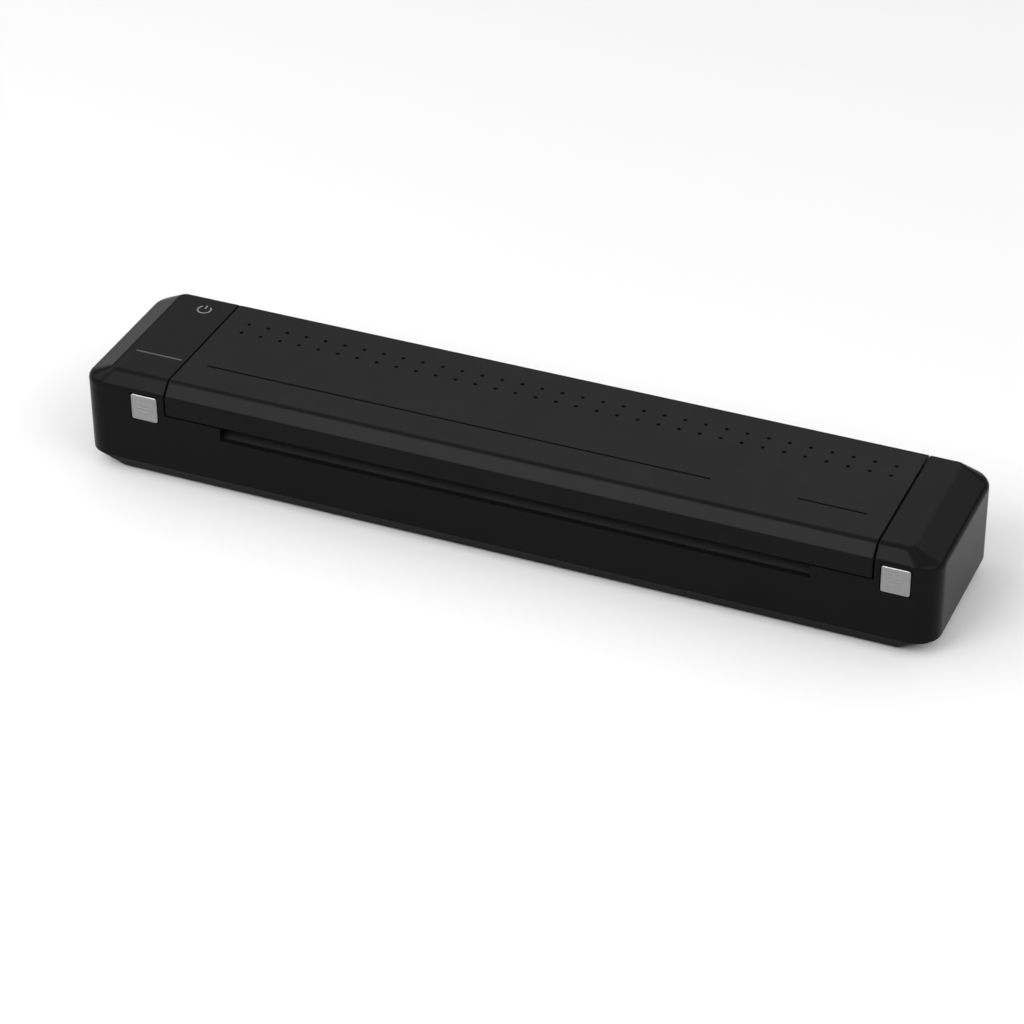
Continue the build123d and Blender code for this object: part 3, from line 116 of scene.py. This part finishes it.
class PrinterMarks(bpy.types.PropertyGroup):
    """Sizes of the printed marks and of the ribs on the push buttons."""

    ring_radius: length("Ring radius", "Middle radius of the power mark's ring", 2.4 * MM)
    line_width: length("Line width", "Width of the power mark's lines", 0.5 * MM)
    ring_gap: FloatProperty(name="Ring gap", description="Opening at the top of the ring",
                            default=radians(80), subtype="ANGLE", unit="ROTATION")
    bar_length: length("Bar length", "Length of the power mark's upright bar", 2.0 * MM)
    print_height: length("Print height", "How far the ink stands above the key", 0.03 * MM)
    ribs: IntProperty(name="Ribs", description="Fine ribs on each push button", default=3, min=1)
    rib_length: length("Rib length", "Length of one rib", 5.0 * MM)
    rib_width: length("Rib width", "Width of one rib", 0.6 * MM)
    rib_pitch: length("Rib pitch", "Distance from rib to rib", 1.5 * MM)
    rib_height: length("Rib height", "How far a rib stands out", 0.10 * MM)


class PrinterSprings(bpy.types.PropertyGroup):
    """Sizes of the springs behind the push buttons and above the print head."""

    latch_wire: length("Latch wire", "Thickness of a latch spring's wire", 0.5 * MM)
    latch_turns: IntProperty(name="Latch turns", description="Open turns of a latch spring",
                             default=6, min=1)
    latch_travel: length("Latch travel", "How far a push button shortens its spring", 2.0 * MM)
    head_wire: length("Head wire", "Thickness of a head spring's wire", 0.5 * MM)
    head_turns: IntProperty(name="Head turns", description="Open turns of a head spring",
                            default=3, min=1)
    head_springs: IntProperty(name="Head springs", description="Springs above the print head",
                              default=4, min=2)
    head_travel: length("Head travel", "How far the rising print head shortens its springs",
                        0.3 * MM)


# ---------------------------------------------------------------- mesh helpers
def grid_mesh(name, points, closed_u=False, closed_v=False):
    """A mesh of quads over a grid of points, an array of shape (rows, columns, 3).

    Quads join each point with the next in its row and column; a closed direction also
    joins the last with the first.
    """
    rows, columns = points.shape[:2]
    index = np.arange(rows * columns).reshape(rows, columns)
    if closed_u:
        index = np.vstack([index, index[:1]])
    if closed_v:
        index = np.hstack([index, index[:, :1]])
    quads = np.stack([index[:-1, :-1], index[1:, :-1], index[1:, 1:], index[:-1, 1:]], axis=-1)
    mesh = bpy.data.meshes.new(name)
    mesh.from_pydata(points.reshape(-1, 3), [], quads.reshape(-1, 4))
    mesh.validate()
    mesh.update()
    return mesh


def piece(name, mesh, body, material):
    """Puts a finished mesh into the scene, lets it ride on a body and gives it its finish."""
    thing = bpy.data.objects.new(name, mesh)
    bpy.context.scene.collection.objects.link(thing)
    mesh.materials.append(material)
    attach(thing, body)
    return thing


def raised_stroke(centre, tangent_angles, centre_line, width, height, base_z):
    """Cross-sections of a flat raised stroke along a line in the XY plane, placed round a centre.

    At each point of the centre line the section is a low arch: across it runs from minus to
    plus half the width along the line's normal, and its height is the full height times
    one minus the fourth power of the share of the half width.
    """
    across = np.linspace(-1.0, 1.0, ACROSS)
    lift = height * (1.0 - across ** 4)
    normal = np.stack([-np.sin(tangent_angles), np.cos(tangent_angles)], axis=-1)
    points = np.zeros((len(centre_line), len(across), 3))
    sideways = normal[:, None, :] * (across * width / 2)[None, :, None]
    points[..., :2] = centre_line[:, None, :] + sideways
    points[..., 2] = base_z + lift[None, :]
    return points + np.asarray(centre)


def coil_points(radius, wire, turns, height):
    """Skin of a compression spring round the Z axis that stands at height 0, between two poles.

    The centre line climbs by just over one wire thickness in its first and its last turn and by
    an even pitch in the open turns between, with a smooth step from one to the other. The wire's
    section is a circle across the line, spanned by the direction away from the axis and the one
    square to both. Past the first and the last circle stands a pole on the centre line.
    """
    total = turns + DEAD_TURNS
    turn = np.linspace(0.0, total, TURN_STEPS * total + 1)
    from_end = np.minimum(turn, total - turn)
    step = np.clip((from_end - OPENING_FROM) / OPENING_TURNS, 0.0, 1.0)
    open_share = step * step * (3.0 - 2.0 * step)
    rises = (open_share[1:] + open_share[:-1]) / 2 * np.diff(turn)
    climbed = np.concatenate([[0.0], np.cumsum(rises)])
    dead_pitch = DEAD_PITCH * wire
    extra = (height - wire - dead_pitch * total) / climbed[-1]
    middle = radius - wire / 2
    angle = 2 * pi * turn
    outward = np.stack([np.cos(angle), np.sin(angle), 0 * angle], axis=-1)
    line = outward * middle
    line[:, 2] = wire / 2 + dead_pitch * turn + extra * climbed
    tangent = np.gradient(line, axis=0)
    tangent /= np.linalg.norm(tangent, axis=-1, keepdims=True)
    upward = np.cross(outward, tangent)
    around = np.linspace(0.0, 2 * pi, WIRE_SIDES, endpoint=False)[None, :, None]
    circle = np.cos(around) * outward[:, None, :] + np.sin(around) * upward[:, None, :]
    points = line[:, None, :] + wire / 2 * circle
    first, last = (0 * points[:1] + line[end] for end in (0, -1))
    return np.concatenate([first, points, last])


def sealed_mesh(name, points):
    """A closed tube between two poles, with its doubles merged and its faces pointing outwards."""
    mesh = grid_mesh(name, points, closed_v=True)
    shell = bmesh.new()
    shell.from_mesh(mesh)
    bmesh.ops.remove_doubles(shell, verts=shell.verts, dist=SAME_PLACE)
    bmesh.ops.recalc_face_normals(shell, faces=shell.faces)
    shell.to_mesh(mesh)
    shell.free()
    mesh.shade_smooth()
    return mesh


# ---------------------------------------------------------------- materials
# scales of the patterns, in repeats per metre
CLOUDS = 38.0  # slow change of tone on a moulding
WEAR = 90.0  # change of gloss on a moulding
DUST = 160.0  # on rubber
PEBBLES = 3200.0  # on rubber
TRACKS = 260.0  # on a circuit board
MASK_CLOUDS = 120.0  # change of gloss on a circuit board
SPECKS = 700.0  # on the glazed plate
MOTTLE = 2600.0  # on ink
FLOOR_CLOUDS = 3.0

NOISE_LOW, NOISE_HIGH = 0.3, 0.7  # the part of a noise's range that a map uses
GRAIN_DEPTH = 0.012 * MM
BRUSH_DEPTH = 0.006 * MM
BRUSH_STRETCH = 0.04  # scale of the pattern along the brush lines
PEBBLE_DEPTH = 0.02 * MM
TRACK_HEIGHT = 0.03 * MM


def set_stops(ramp, stops):
    """Gives a colour ramp its stops, each a place and a colour."""
    while len(ramp.elements) < len(stops):
        ramp.elements.new(0.5)
    for element, (place, tone) in zip(ramp.elements, stops):
        element.position = place
        element.color = (*tone, 1.0)


class Nodes:
    """Short names for adding and linking shader nodes of one material."""

    def __init__(self, name):
        self.material = bpy.data.materials.new(name)
        self.material.use_nodes = True
        self.tree = self.material.node_tree
        self.tree.nodes.clear()
        self.out = self.add("ShaderNodeOutputMaterial")
        self.shader = self.add("ShaderNodeBsdfPrincipled")
        self.link(self.shader, "BSDF", self.out, "Surface")
        self.coords = self.add("ShaderNodeTexCoord")

    def add(self, kind, **sockets):
        """A new node with values on its sockets, whose names have _ for a space."""
        node = self.tree.nodes.new(kind)
        for socket, value in sockets.items():
            node.inputs[socket.replace("_", " ")].default_value = value
        return node

    def link(self, source, output, target, socket):
        """Joins an output to a socket."""
        self.tree.links.new(source.outputs[output], target.inputs[socket])

    def mapped(self, scale):
        """Object coordinates stretched by a scale along each axis."""
        mapping = self.add("ShaderNodeMapping", Scale=scale)
        self.link(self.coords, "Object", mapping, "Vector")
        return mapping

    def noise(self, scale, detail=2.0, roughness=0.5, stretch=(1, 1, 1)):
        """Noise over the surface."""
        noise = self.add("ShaderNodeTexNoise", Scale=scale, Detail=detail, Roughness=roughness)
        self.link(self.mapped(stretch), "Vector", noise, "Vector")
        return noise

    def tint(self, source, output, stops):
        """Colours the surface along a ramp."""
        node = self.add("ShaderNodeValToRGB")
        set_stops(node.color_ramp, stops)
        self.link(source, output, node, "Fac")
        self.link(node, "Color", self.shader, "Base Color")

    def roughness(self, source, output, low, high):
        """Lets the surface's roughness follow a pattern between two values."""
        node = self.add("ShaderNodeMapRange", From_Min=NOISE_LOW, From_Max=NOISE_HIGH,
                        To_Min=low, To_Max=high)
        self.link(source, output, node, "Value")
        self.link(node, "Result", self.shader, "Roughness")

    def bump(self, source, output, strength, distance):
        """Lets the surface's relief follow a pattern."""
        node = self.add("ShaderNodeBump", Strength=strength, Distance=distance)
        self.link(source, output, node, "Height")
        self.link(node, "Normal", self.shader, "Normal")


def shade(tone, factor):
    """A colour made lighter or darker by a factor."""
    return tuple(min(1.0, part * factor) for part in tone)


def moulded_plastic(name, tone, grain, roughness, gloss=0.5):
    """Moulded plastic: fine grain in the surface, slow change of tone and of gloss."""
    n = Nodes(name)
    cloud = n.noise(CLOUDS, detail=3.0)
    n.tint(cloud, "Fac", [(0.25, shade(tone, 0.90)), (0.5, tone), (0.78, shade(tone, 1.11))])
    fine = n.noise(1.0 / grain, detail=2.0, roughness=0.6)
    wear = n.noise(WEAR, detail=4.0, roughness=0.6)
    n.roughness(wear, "Fac", roughness - 0.012, roughness + 0.016)
    n.bump(fine, "Fac", 1.0, GRAIN_DEPTH)
    n.shader.inputs["Specular IOR Level"].default_value = gloss
    return n.material


def brushed_metal(name, tone, line, direction, roughness):
    """Metal with fine brush lines along one axis: the lines vary tone, gloss and height."""
    n = Nodes(name)
    stretch = [1.0, 1.0, 1.0]
    stretch["XYZ".index(direction)] = BRUSH_STRETCH
    lines = n.noise(1.0 / line, detail=3.0, roughness=0.65, stretch=stretch)
    n.tint(lines, "Fac", [(0.25, shade(tone, 0.82)), (0.5, tone), (0.75, shade(tone, 1.15))])
    n.roughness(lines, "Fac", roughness - 0.06, roughness + 0.10)
    n.bump(lines, "Fac", 0.6, BRUSH_DEPTH)
    n.shader.inputs["Metallic"].default_value = 1.0
    return n.material


def soft_rubber(name, tone):
    """Dull rubber with a fine pebble grain and a little dust tone."""
    n = Nodes(name)
    dust = n.noise(DUST, detail=5.0, roughness=0.7)
    n.tint(dust, "Fac", [(0.3, tone), (0.62, shade(tone, 1.3)), (0.85, shade(tone, 2.1))])
    pebble = n.add("ShaderNodeTexVoronoi", Scale=PEBBLES)
    n.link(n.mapped((1, 1, 1)), "Vector", pebble, "Vector")
    n.bump(pebble, "Distance", 0.5, PEBBLE_DEPTH)
    n.roughness(dust, "Fac", 0.62, 0.82)
    return n.material


def circuit_green(name):
    """Solder mask over copper tracks: a brick pattern of lines that stands slightly proud."""
    n = Nodes(name)
    tracks = n.add("ShaderNodeTexBrick", Scale=TRACKS, Mortar_Size=0.035,
                   Color1=(0.006, 0.055, 0.022, 1), Color2=(0.008, 0.066, 0.028, 1),
                   Mortar=(0.022, 0.13, 0.06, 1))
    n.link(n.mapped((1, 1, 1)), "Vector", tracks, "Vector")
    n.link(tracks, "Color", n.shader, "Base Color")
    n.bump(tracks, "Fac", 0.4, TRACK_HEIGHT)
    n.roughness(n.noise(MASK_CLOUDS), "Fac", 0.24, 0.36)
    return n.material


def glazed_plate(name, tone):
    """Glazed alumina: pale, glossy, with faint specks."""
    n = Nodes(name)
    specks = n.noise(SPECKS, detail=5.0, roughness=0.7)
    n.tint(specks, "Fac", [(0.3, shade(tone, 0.93)), (0.6, tone)])
    n.roughness(specks, "Fac", 0.14, 0.22)
    return n.material


def printed_ink(name, tone):
    """Thin light ink: slightly mottled and dull."""
    n = Nodes(name)
    mottle = n.noise(MOTTLE, detail=3.0)
    n.tint(mottle, "Fac", [(0.3, shade(tone, 0.88)), (0.65, tone)])
    n.roughness(mottle, "Fac", 0.45, 0.6)
    return n.material


def finishes():
    """Every finish, by the record's material slot or by a name in OWN_FINISH."""
    look = bpy.context.scene.printer_finish
    case, grain = tuple(look.case), look.grain
    # name, tone, size of a grain, roughness and, where it isn't the usual one, gloss
    mouldings = {
        "case_plastic": ("satin_black_case", case, grain, 0.24, 0.037),
        "cover_plastic": ("satin_black_cover", case, grain, 0.24, 0.047),
        "base_plastic": ("satin_black_base", case, grain, 0.32, 0.022),
        "inner_plastic": ("inner_moulding", tuple(look.inner), grain * 1.4, 0.52, 0.15),
        "gear_plastic": ("acetal", (0.62, 0.60, 0.54), 0.8 * MM, 0.36),
        "chip_black": ("chip_package", (0.012, 0.012, 0.013), 0.15 * MM, 0.55),
        "socket_plastic": ("connector_body", (0.60, 0.55, 0.44), 0.5 * MM, 0.45),
        "cell_wrap": ("cell_sleeve", (0.03, 0.10, 0.22), 0.9 * MM, 0.3),
        "ribbon": ("ribbon_film", (0.42, 0.18, 0.035), 0.6 * MM, 0.3),
        "lead": ("wire_cover", (0.30, 0.012, 0.012), 0.5 * MM, 0.35),
        "light": ("milky_guide", tuple(look.guide), 0.5 * MM, 0.4),
    }
    # name, tone, width of a brush line, its direction, roughness
    metals = {
        "silver_cap": ("silver_cap", tuple(look.cap), look.brush, "Z", 0.38),
        "steel": ("plain_steel", tuple(look.steel), 0.3 * MM, "X", 0.28),
        "bronze": ("sintered_bronze", (0.42, 0.26, 0.11), 0.2 * MM, "X", 0.45),
        "aluminium": ("extruded_aluminium", (0.40, 0.405, 0.42), 0.25 * MM, "X", 0.44),
    }
    made = {slot: moulded_plastic(*values) for slot, values in mouldings.items()}
    made.update((slot, brushed_metal(*values)) for slot, values in metals.items())
    made["rubber"] = soft_rubber("black_rubber", tuple(look.rubber))
    made["circuit_board"] = circuit_green("solder_mask")
    made["ceramic"] = glazed_plate("glazed_alumina", (0.50, 0.47, 0.42))
    return made


FINISH = {}
# nodes that have a finish of their own
OWN_FINISH = {"top_cover": "cover_plastic", "bottom_cover": "base_plastic"}


class PRINTER_OT_finish(bpy.types.Operator):
    """Gives every CAD node the finish of its material slot"""

    bl_idname = "printer.finish"
    bl_label = "Finish the nodes"

    def execute(self, context):
        FINISH.update(finishes())
        for entry in frame["record"]["subparts"]:
            mesh = NODES[entry["node"]].data
            mesh.materials.clear()
            slot = OWN_FINISH.get(entry["node"], entry["material_slot"])
            mesh.materials.append(FINISH[slot])
        return {"FINISHED"}


class PRINTER_OT_power_mark(bpy.types.Operator):
    """Prints the power mark, an open ring and an upright bar, on the power key"""

    bl_idname = "printer.power_mark"
    bl_label = "Power mark"

    def execute(self, context):
        marks = context.scene.printer_marks
        low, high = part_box("power_key")
        centre = ((low.x + high.x) / 2, (low.y + high.y) / 2, 0.0)
        ink = printed_ink("mark_ink", tuple(context.scene.printer_finish.mark))
        half_gap = marks.ring_gap / 2
        angles = np.linspace(pi / 2 + half_gap, 2.5 * pi - half_gap, RING_STEPS)
        ring = marks.ring_radius * np.stack([np.cos(angles), np.sin(angles)], axis=-1)
        along = np.linspace(0.0, 1.0, BAR_STEPS)
        top = marks.ring_radius + BAR_RISE * marks.line_width
        bar = np.stack([0 * along, top - marks.bar_length * (1 - along)], axis=-1)
        strokes = {"power_mark_ring": (angles + pi / 2, ring),
                   "power_mark_bar": (np.full(BAR_STEPS, pi / 2), bar)}
        for name, (tangents, line) in strokes.items():
            points = raised_stroke(centre, tangents, line, marks.line_width,
                                   marks.print_height, high.z)
            piece(name, grid_mesh(name, points[:, ::-1]), "key", ink)
        return {"FINISHED"}


class PRINTER_OT_button_ribs(bpy.types.Operator):
    """Raises fine ribs on the two push buttons"""

    bl_idname = "printer.button_ribs"
    bl_label = "Push button ribs"

    def execute(self, context):
        for side in ("left", "right"):
            self.ribs(context.scene.printer_marks, side)
        return {"FINISHED"}

    def ribs(self, marks, side):
        """Each rib is half an ellipse across and tapers at both ends with the root of one minus
        the eighth power of the place along it."""
        low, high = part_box(f"{side}_push_button")
        along = np.linspace(-1.0, 1.0, RIB_STEPS)
        across = np.linspace(-pi / 2, pi / 2, ACROSS)
        fade = np.sqrt(np.clip(1.0 - along ** 8, 0.0, 1.0))
        for number in range(marks.ribs):
            z = (low.z + high.z) / 2 + (number - (marks.ribs - 1) / 2) * marks.rib_pitch
            points = np.zeros((len(along), len(across), 3))
            points[..., 0] = (low.x + high.x) / 2 + along[:, None] * marks.rib_length / 2
            points[..., 1] = low.y - fade[:, None] * np.cos(across)[None, :] * marks.rib_height
            points[..., 2] = z + fade[:, None] * np.sin(across)[None, :] * marks.rib_width / 2
            name = f"{side}_button_rib_{number}"
            mesh = grid_mesh(name, points)
            piece(name, mesh, f"{side}_latch", FINISH["silver_cap"])


class PRINTER_OT_latch_springs(bpy.types.Operator):
    """Winds the spring behind each push button"""

    bl_idname = "printer.latch_springs"
    bl_label = "Latch springs"

    def execute(self, context):
        sizes = context.scene.printer_springs
        for side in ("left", "right"):
            node = f"{side}_latch_spring"
            low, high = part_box(node)
            radius, height = (high.x - low.x) / 2, high.y - low.y
            upright = coil_points(radius, sizes.latch_wire, sizes.latch_turns, height)
            # turned so that it lies along Y
            points = upright[..., [0, 2, 1]] * (1.0, 1.0, -1.0)
            points += ((low.x + high.x) / 2, low.y, (low.z + high.z) / 2)
            name = f"{side}_latch_coil"
            coil = piece(name, sealed_mesh(name, points), "base", FINISH["steel"])
            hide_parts(node)
            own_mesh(coil)
        return {"FINISHED"}


class PRINTER_OT_head_springs(bpy.types.Operator):
    """Winds the springs above the print head"""

    bl_idname = "printer.head_springs"
    bl_label = "Head springs"

    def execute(self, context):
        sizes = context.scene.printer_springs
        low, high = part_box("head_springs")
        radius, height = (high.y - low.y) / 2, high.z - low.z
        upright = coil_points(radius, sizes.head_wire, sizes.head_turns, height)
        places = np.linspace(low.x + radius, high.x - radius, sizes.head_springs)
        for number, x in enumerate(places):
            name = f"head_coil_{number}"
            points = upright + (x, (low.y + high.y) / 2, low.z)
            coil = piece(name, sealed_mesh(name, points), "cover", FINISH["steel"])
            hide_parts("head_springs")
            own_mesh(coil)
        return {"FINISHED"}


# ---------------------------------------------------------------- studio
class PrinterStudio(bpy.types.PropertyGroup):
    """Camera and light."""

    lens: FloatProperty(name="Lens", description="Focal length on a 36 mm sensor", default=124.12,
                        min=10.0, subtype="DISTANCE_CAMERA", unit="CAMERA")
    sky: FloatProperty(name="Sky", description="Brightness of the white surroundings",
                       default=2.5, min=0.0)
    floor: colour("Floor", "Pale floor", (0.615, 0.615, 0.615))


FLOOR_HALF = 6.0  # half a side of the floor, in metres

# sine of the height above the horizon, brightness
SKY_BANDS = ((0.0, 0.44), (0.13, 0.44), (0.19, 0.03), (0.46, 0.03), (0.53, 0.92), (0.60, 0.92),
             (0.72, 0.40), (0.90, 0.34))

# place, side in metres and power in watts of each soft box, which points at the origin
LIGHT_BOXES = {
    "front_box": ((-0.38, -0.92, 0.92), 0.75, 11.8),
    "right_box": ((1.25, -0.35, 1.1), 1.2, 10.8),
    "left_box": ((-1.35, -0.1, 1.0), 1.2, 6.2),
}

CAMERA_PLACE = Vector((0.39445, -0.9297, 0.6858))
CAMERA_RIGHT = Vector((0.9204, 0.3908, -0.0077))
CAMERA_UP = Vector((-0.2138, 0.5198, 0.8271))
CAMERA_BACK = Vector((0.3273, -0.7596, 0.5620))


class PRINTER_OT_studio(bpy.types.Operator):
    """Builds the pale floor, the soft lights and the camera"""

    bl_idname = "printer.studio"
    bl_label = "Studio"

    def execute(self, context):
        studio = context.scene.printer_studio
        self.floor(studio)
        self.sky(context, studio)
        self.lights()
        self.camera(context, studio)
        return {"FINISHED"}

    def floor(self, studio):
        """A square floor at the height of the feet."""
        corner = np.array([-FLOOR_HALF, FLOOR_HALF])
        points = np.zeros((2, 2, 3))
        points[..., 0] = corner[:, None]
        points[..., 1] = corner[None, :]
        mesh = grid_mesh("floor", points)
        thing = bpy.data.objects.new("floor", mesh)
        bpy.context.scene.collection.objects.link(thing)
        n = Nodes("pale_floor")
        tone = tuple(studio.floor)
        n.tint(n.noise(FLOOR_CLOUDS), "Fac", [(0.3, shade(tone, 0.99)), (0.7, tone)])
        n.shader.inputs["Roughness"].default_value = 0.7
        mesh.materials.append(n.material)

    def sky(self, context, studio):
        """White surroundings in bands: bright at the horizon and half way up, dim elsewhere."""
        world = bpy.data.worlds.new("studio_sky")
        world.use_nodes = True
        tree = world.node_tree
        background = tree.nodes["Background"]
        background.inputs["Strength"].default_value = studio.sky
        coords = tree.nodes.new("ShaderNodeTexCoord")
        split = tree.nodes.new("ShaderNodeSeparateXYZ")
        bands = tree.nodes.new("ShaderNodeValToRGB")
        bands.color_ramp.interpolation = "EASE"
        set_stops(bands.color_ramp, [(height, (level,) * 3) for height, level in SKY_BANDS])
        tree.links.new(coords.outputs["Generated"], split.inputs["Vector"])
        tree.links.new(split.outputs["Z"], bands.inputs["Fac"])
        tree.links.new(bands.outputs["Color"], background.inputs["Color"])
        context.scene.world = world

    def lights(self):
        """Square soft boxes that point at the origin."""
        for name, (place, size, power) in LIGHT_BOXES.items():
            lamp = bpy.data.lights.new(name, "AREA")
            lamp.shape = "SQUARE"
            lamp.size = size
            lamp.energy = power
            thing = bpy.data.objects.new(name, lamp)
            thing.location = place
            thing.rotation_euler = (-Vector(place)).to_track_quat("-Z", "Y").to_euler()
            bpy.context.scene.collection.objects.link(thing)

    def camera(self, context, studio):
        """A camera with its three axes given, and plain display colours."""
        lens = bpy.data.cameras.new("camera")
        lens.sensor_width = 36.0
        lens.lens = studio.lens
        lens.clip_start = 0.01
        thing = bpy.data.objects.new("camera", lens)
        turn = Matrix((CAMERA_RIGHT, CAMERA_UP, CAMERA_BACK)).transposed().to_4x4()
        thing.matrix_world = Matrix.Translation(CAMERA_PLACE) @ turn
        context.scene.collection.objects.link(thing)
        context.scene.camera = thing
        context.scene.view_settings.view_transform = "Standard"


# ---------------------------------------------------------------- add-on
class PRINTER_PT_panel(bpy.types.Panel):
    """Lists the steps in the sidebar"""

    bl_idname = "PRINTER_PT_panel"
    bl_label = "Portable printer"
    bl_space_type = "VIEW_3D"
    bl_region_type = "UI"
    bl_category = "Printer"

    def draw(self, context):
        for group in GROUPS:
            box = self.layout.box()
            settings = getattr(context.scene, group)
            for key in settings.__annotations__:
                box.prop(settings, key)
        for operator in OPERATORS:
            self.layout.operator(operator.bl_idname)


GROUPS = {"printer_finish": PrinterFinish, "printer_marks": PrinterMarks,
          "printer_springs": PrinterSprings, "printer_studio": PrinterStudio}
OPERATORS = (PRINTER_OT_finish, PRINTER_OT_power_mark, PRINTER_OT_button_ribs,
             PRINTER_OT_latch_springs, PRINTER_OT_head_springs, PRINTER_OT_studio)


def register():
    """Registers the settings, the steps and the panel."""
    for group in GROUPS.values():
        bpy.utils.register_class(group)
    for operator in OPERATORS:
        bpy.utils.register_class(operator)
    bpy.utils.register_class(PRINTER_PT_panel)
    for name, group in GROUPS.items():
        setattr(bpy.types.Scene, name, PointerProperty(type=group))


def unregister():
    """Takes all of it away again."""
    for name in GROUPS:
        delattr(bpy.types.Scene, name)
    for kind in (PRINTER_PT_panel, *reversed(OPERATORS), *GROUPS.values()):
        bpy.utils.unregister_class(kind)


def main():
    """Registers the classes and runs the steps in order."""
    register()
    bpy.ops.printer.finish()
    bpy.ops.printer.power_mark()
    bpy.ops.printer.button_ribs()
    bpy.ops.printer.latch_springs()
    bpy.ops.printer.head_springs()
    bpy.ops.printer.studio()


if __name__ == "__main__":
    main()
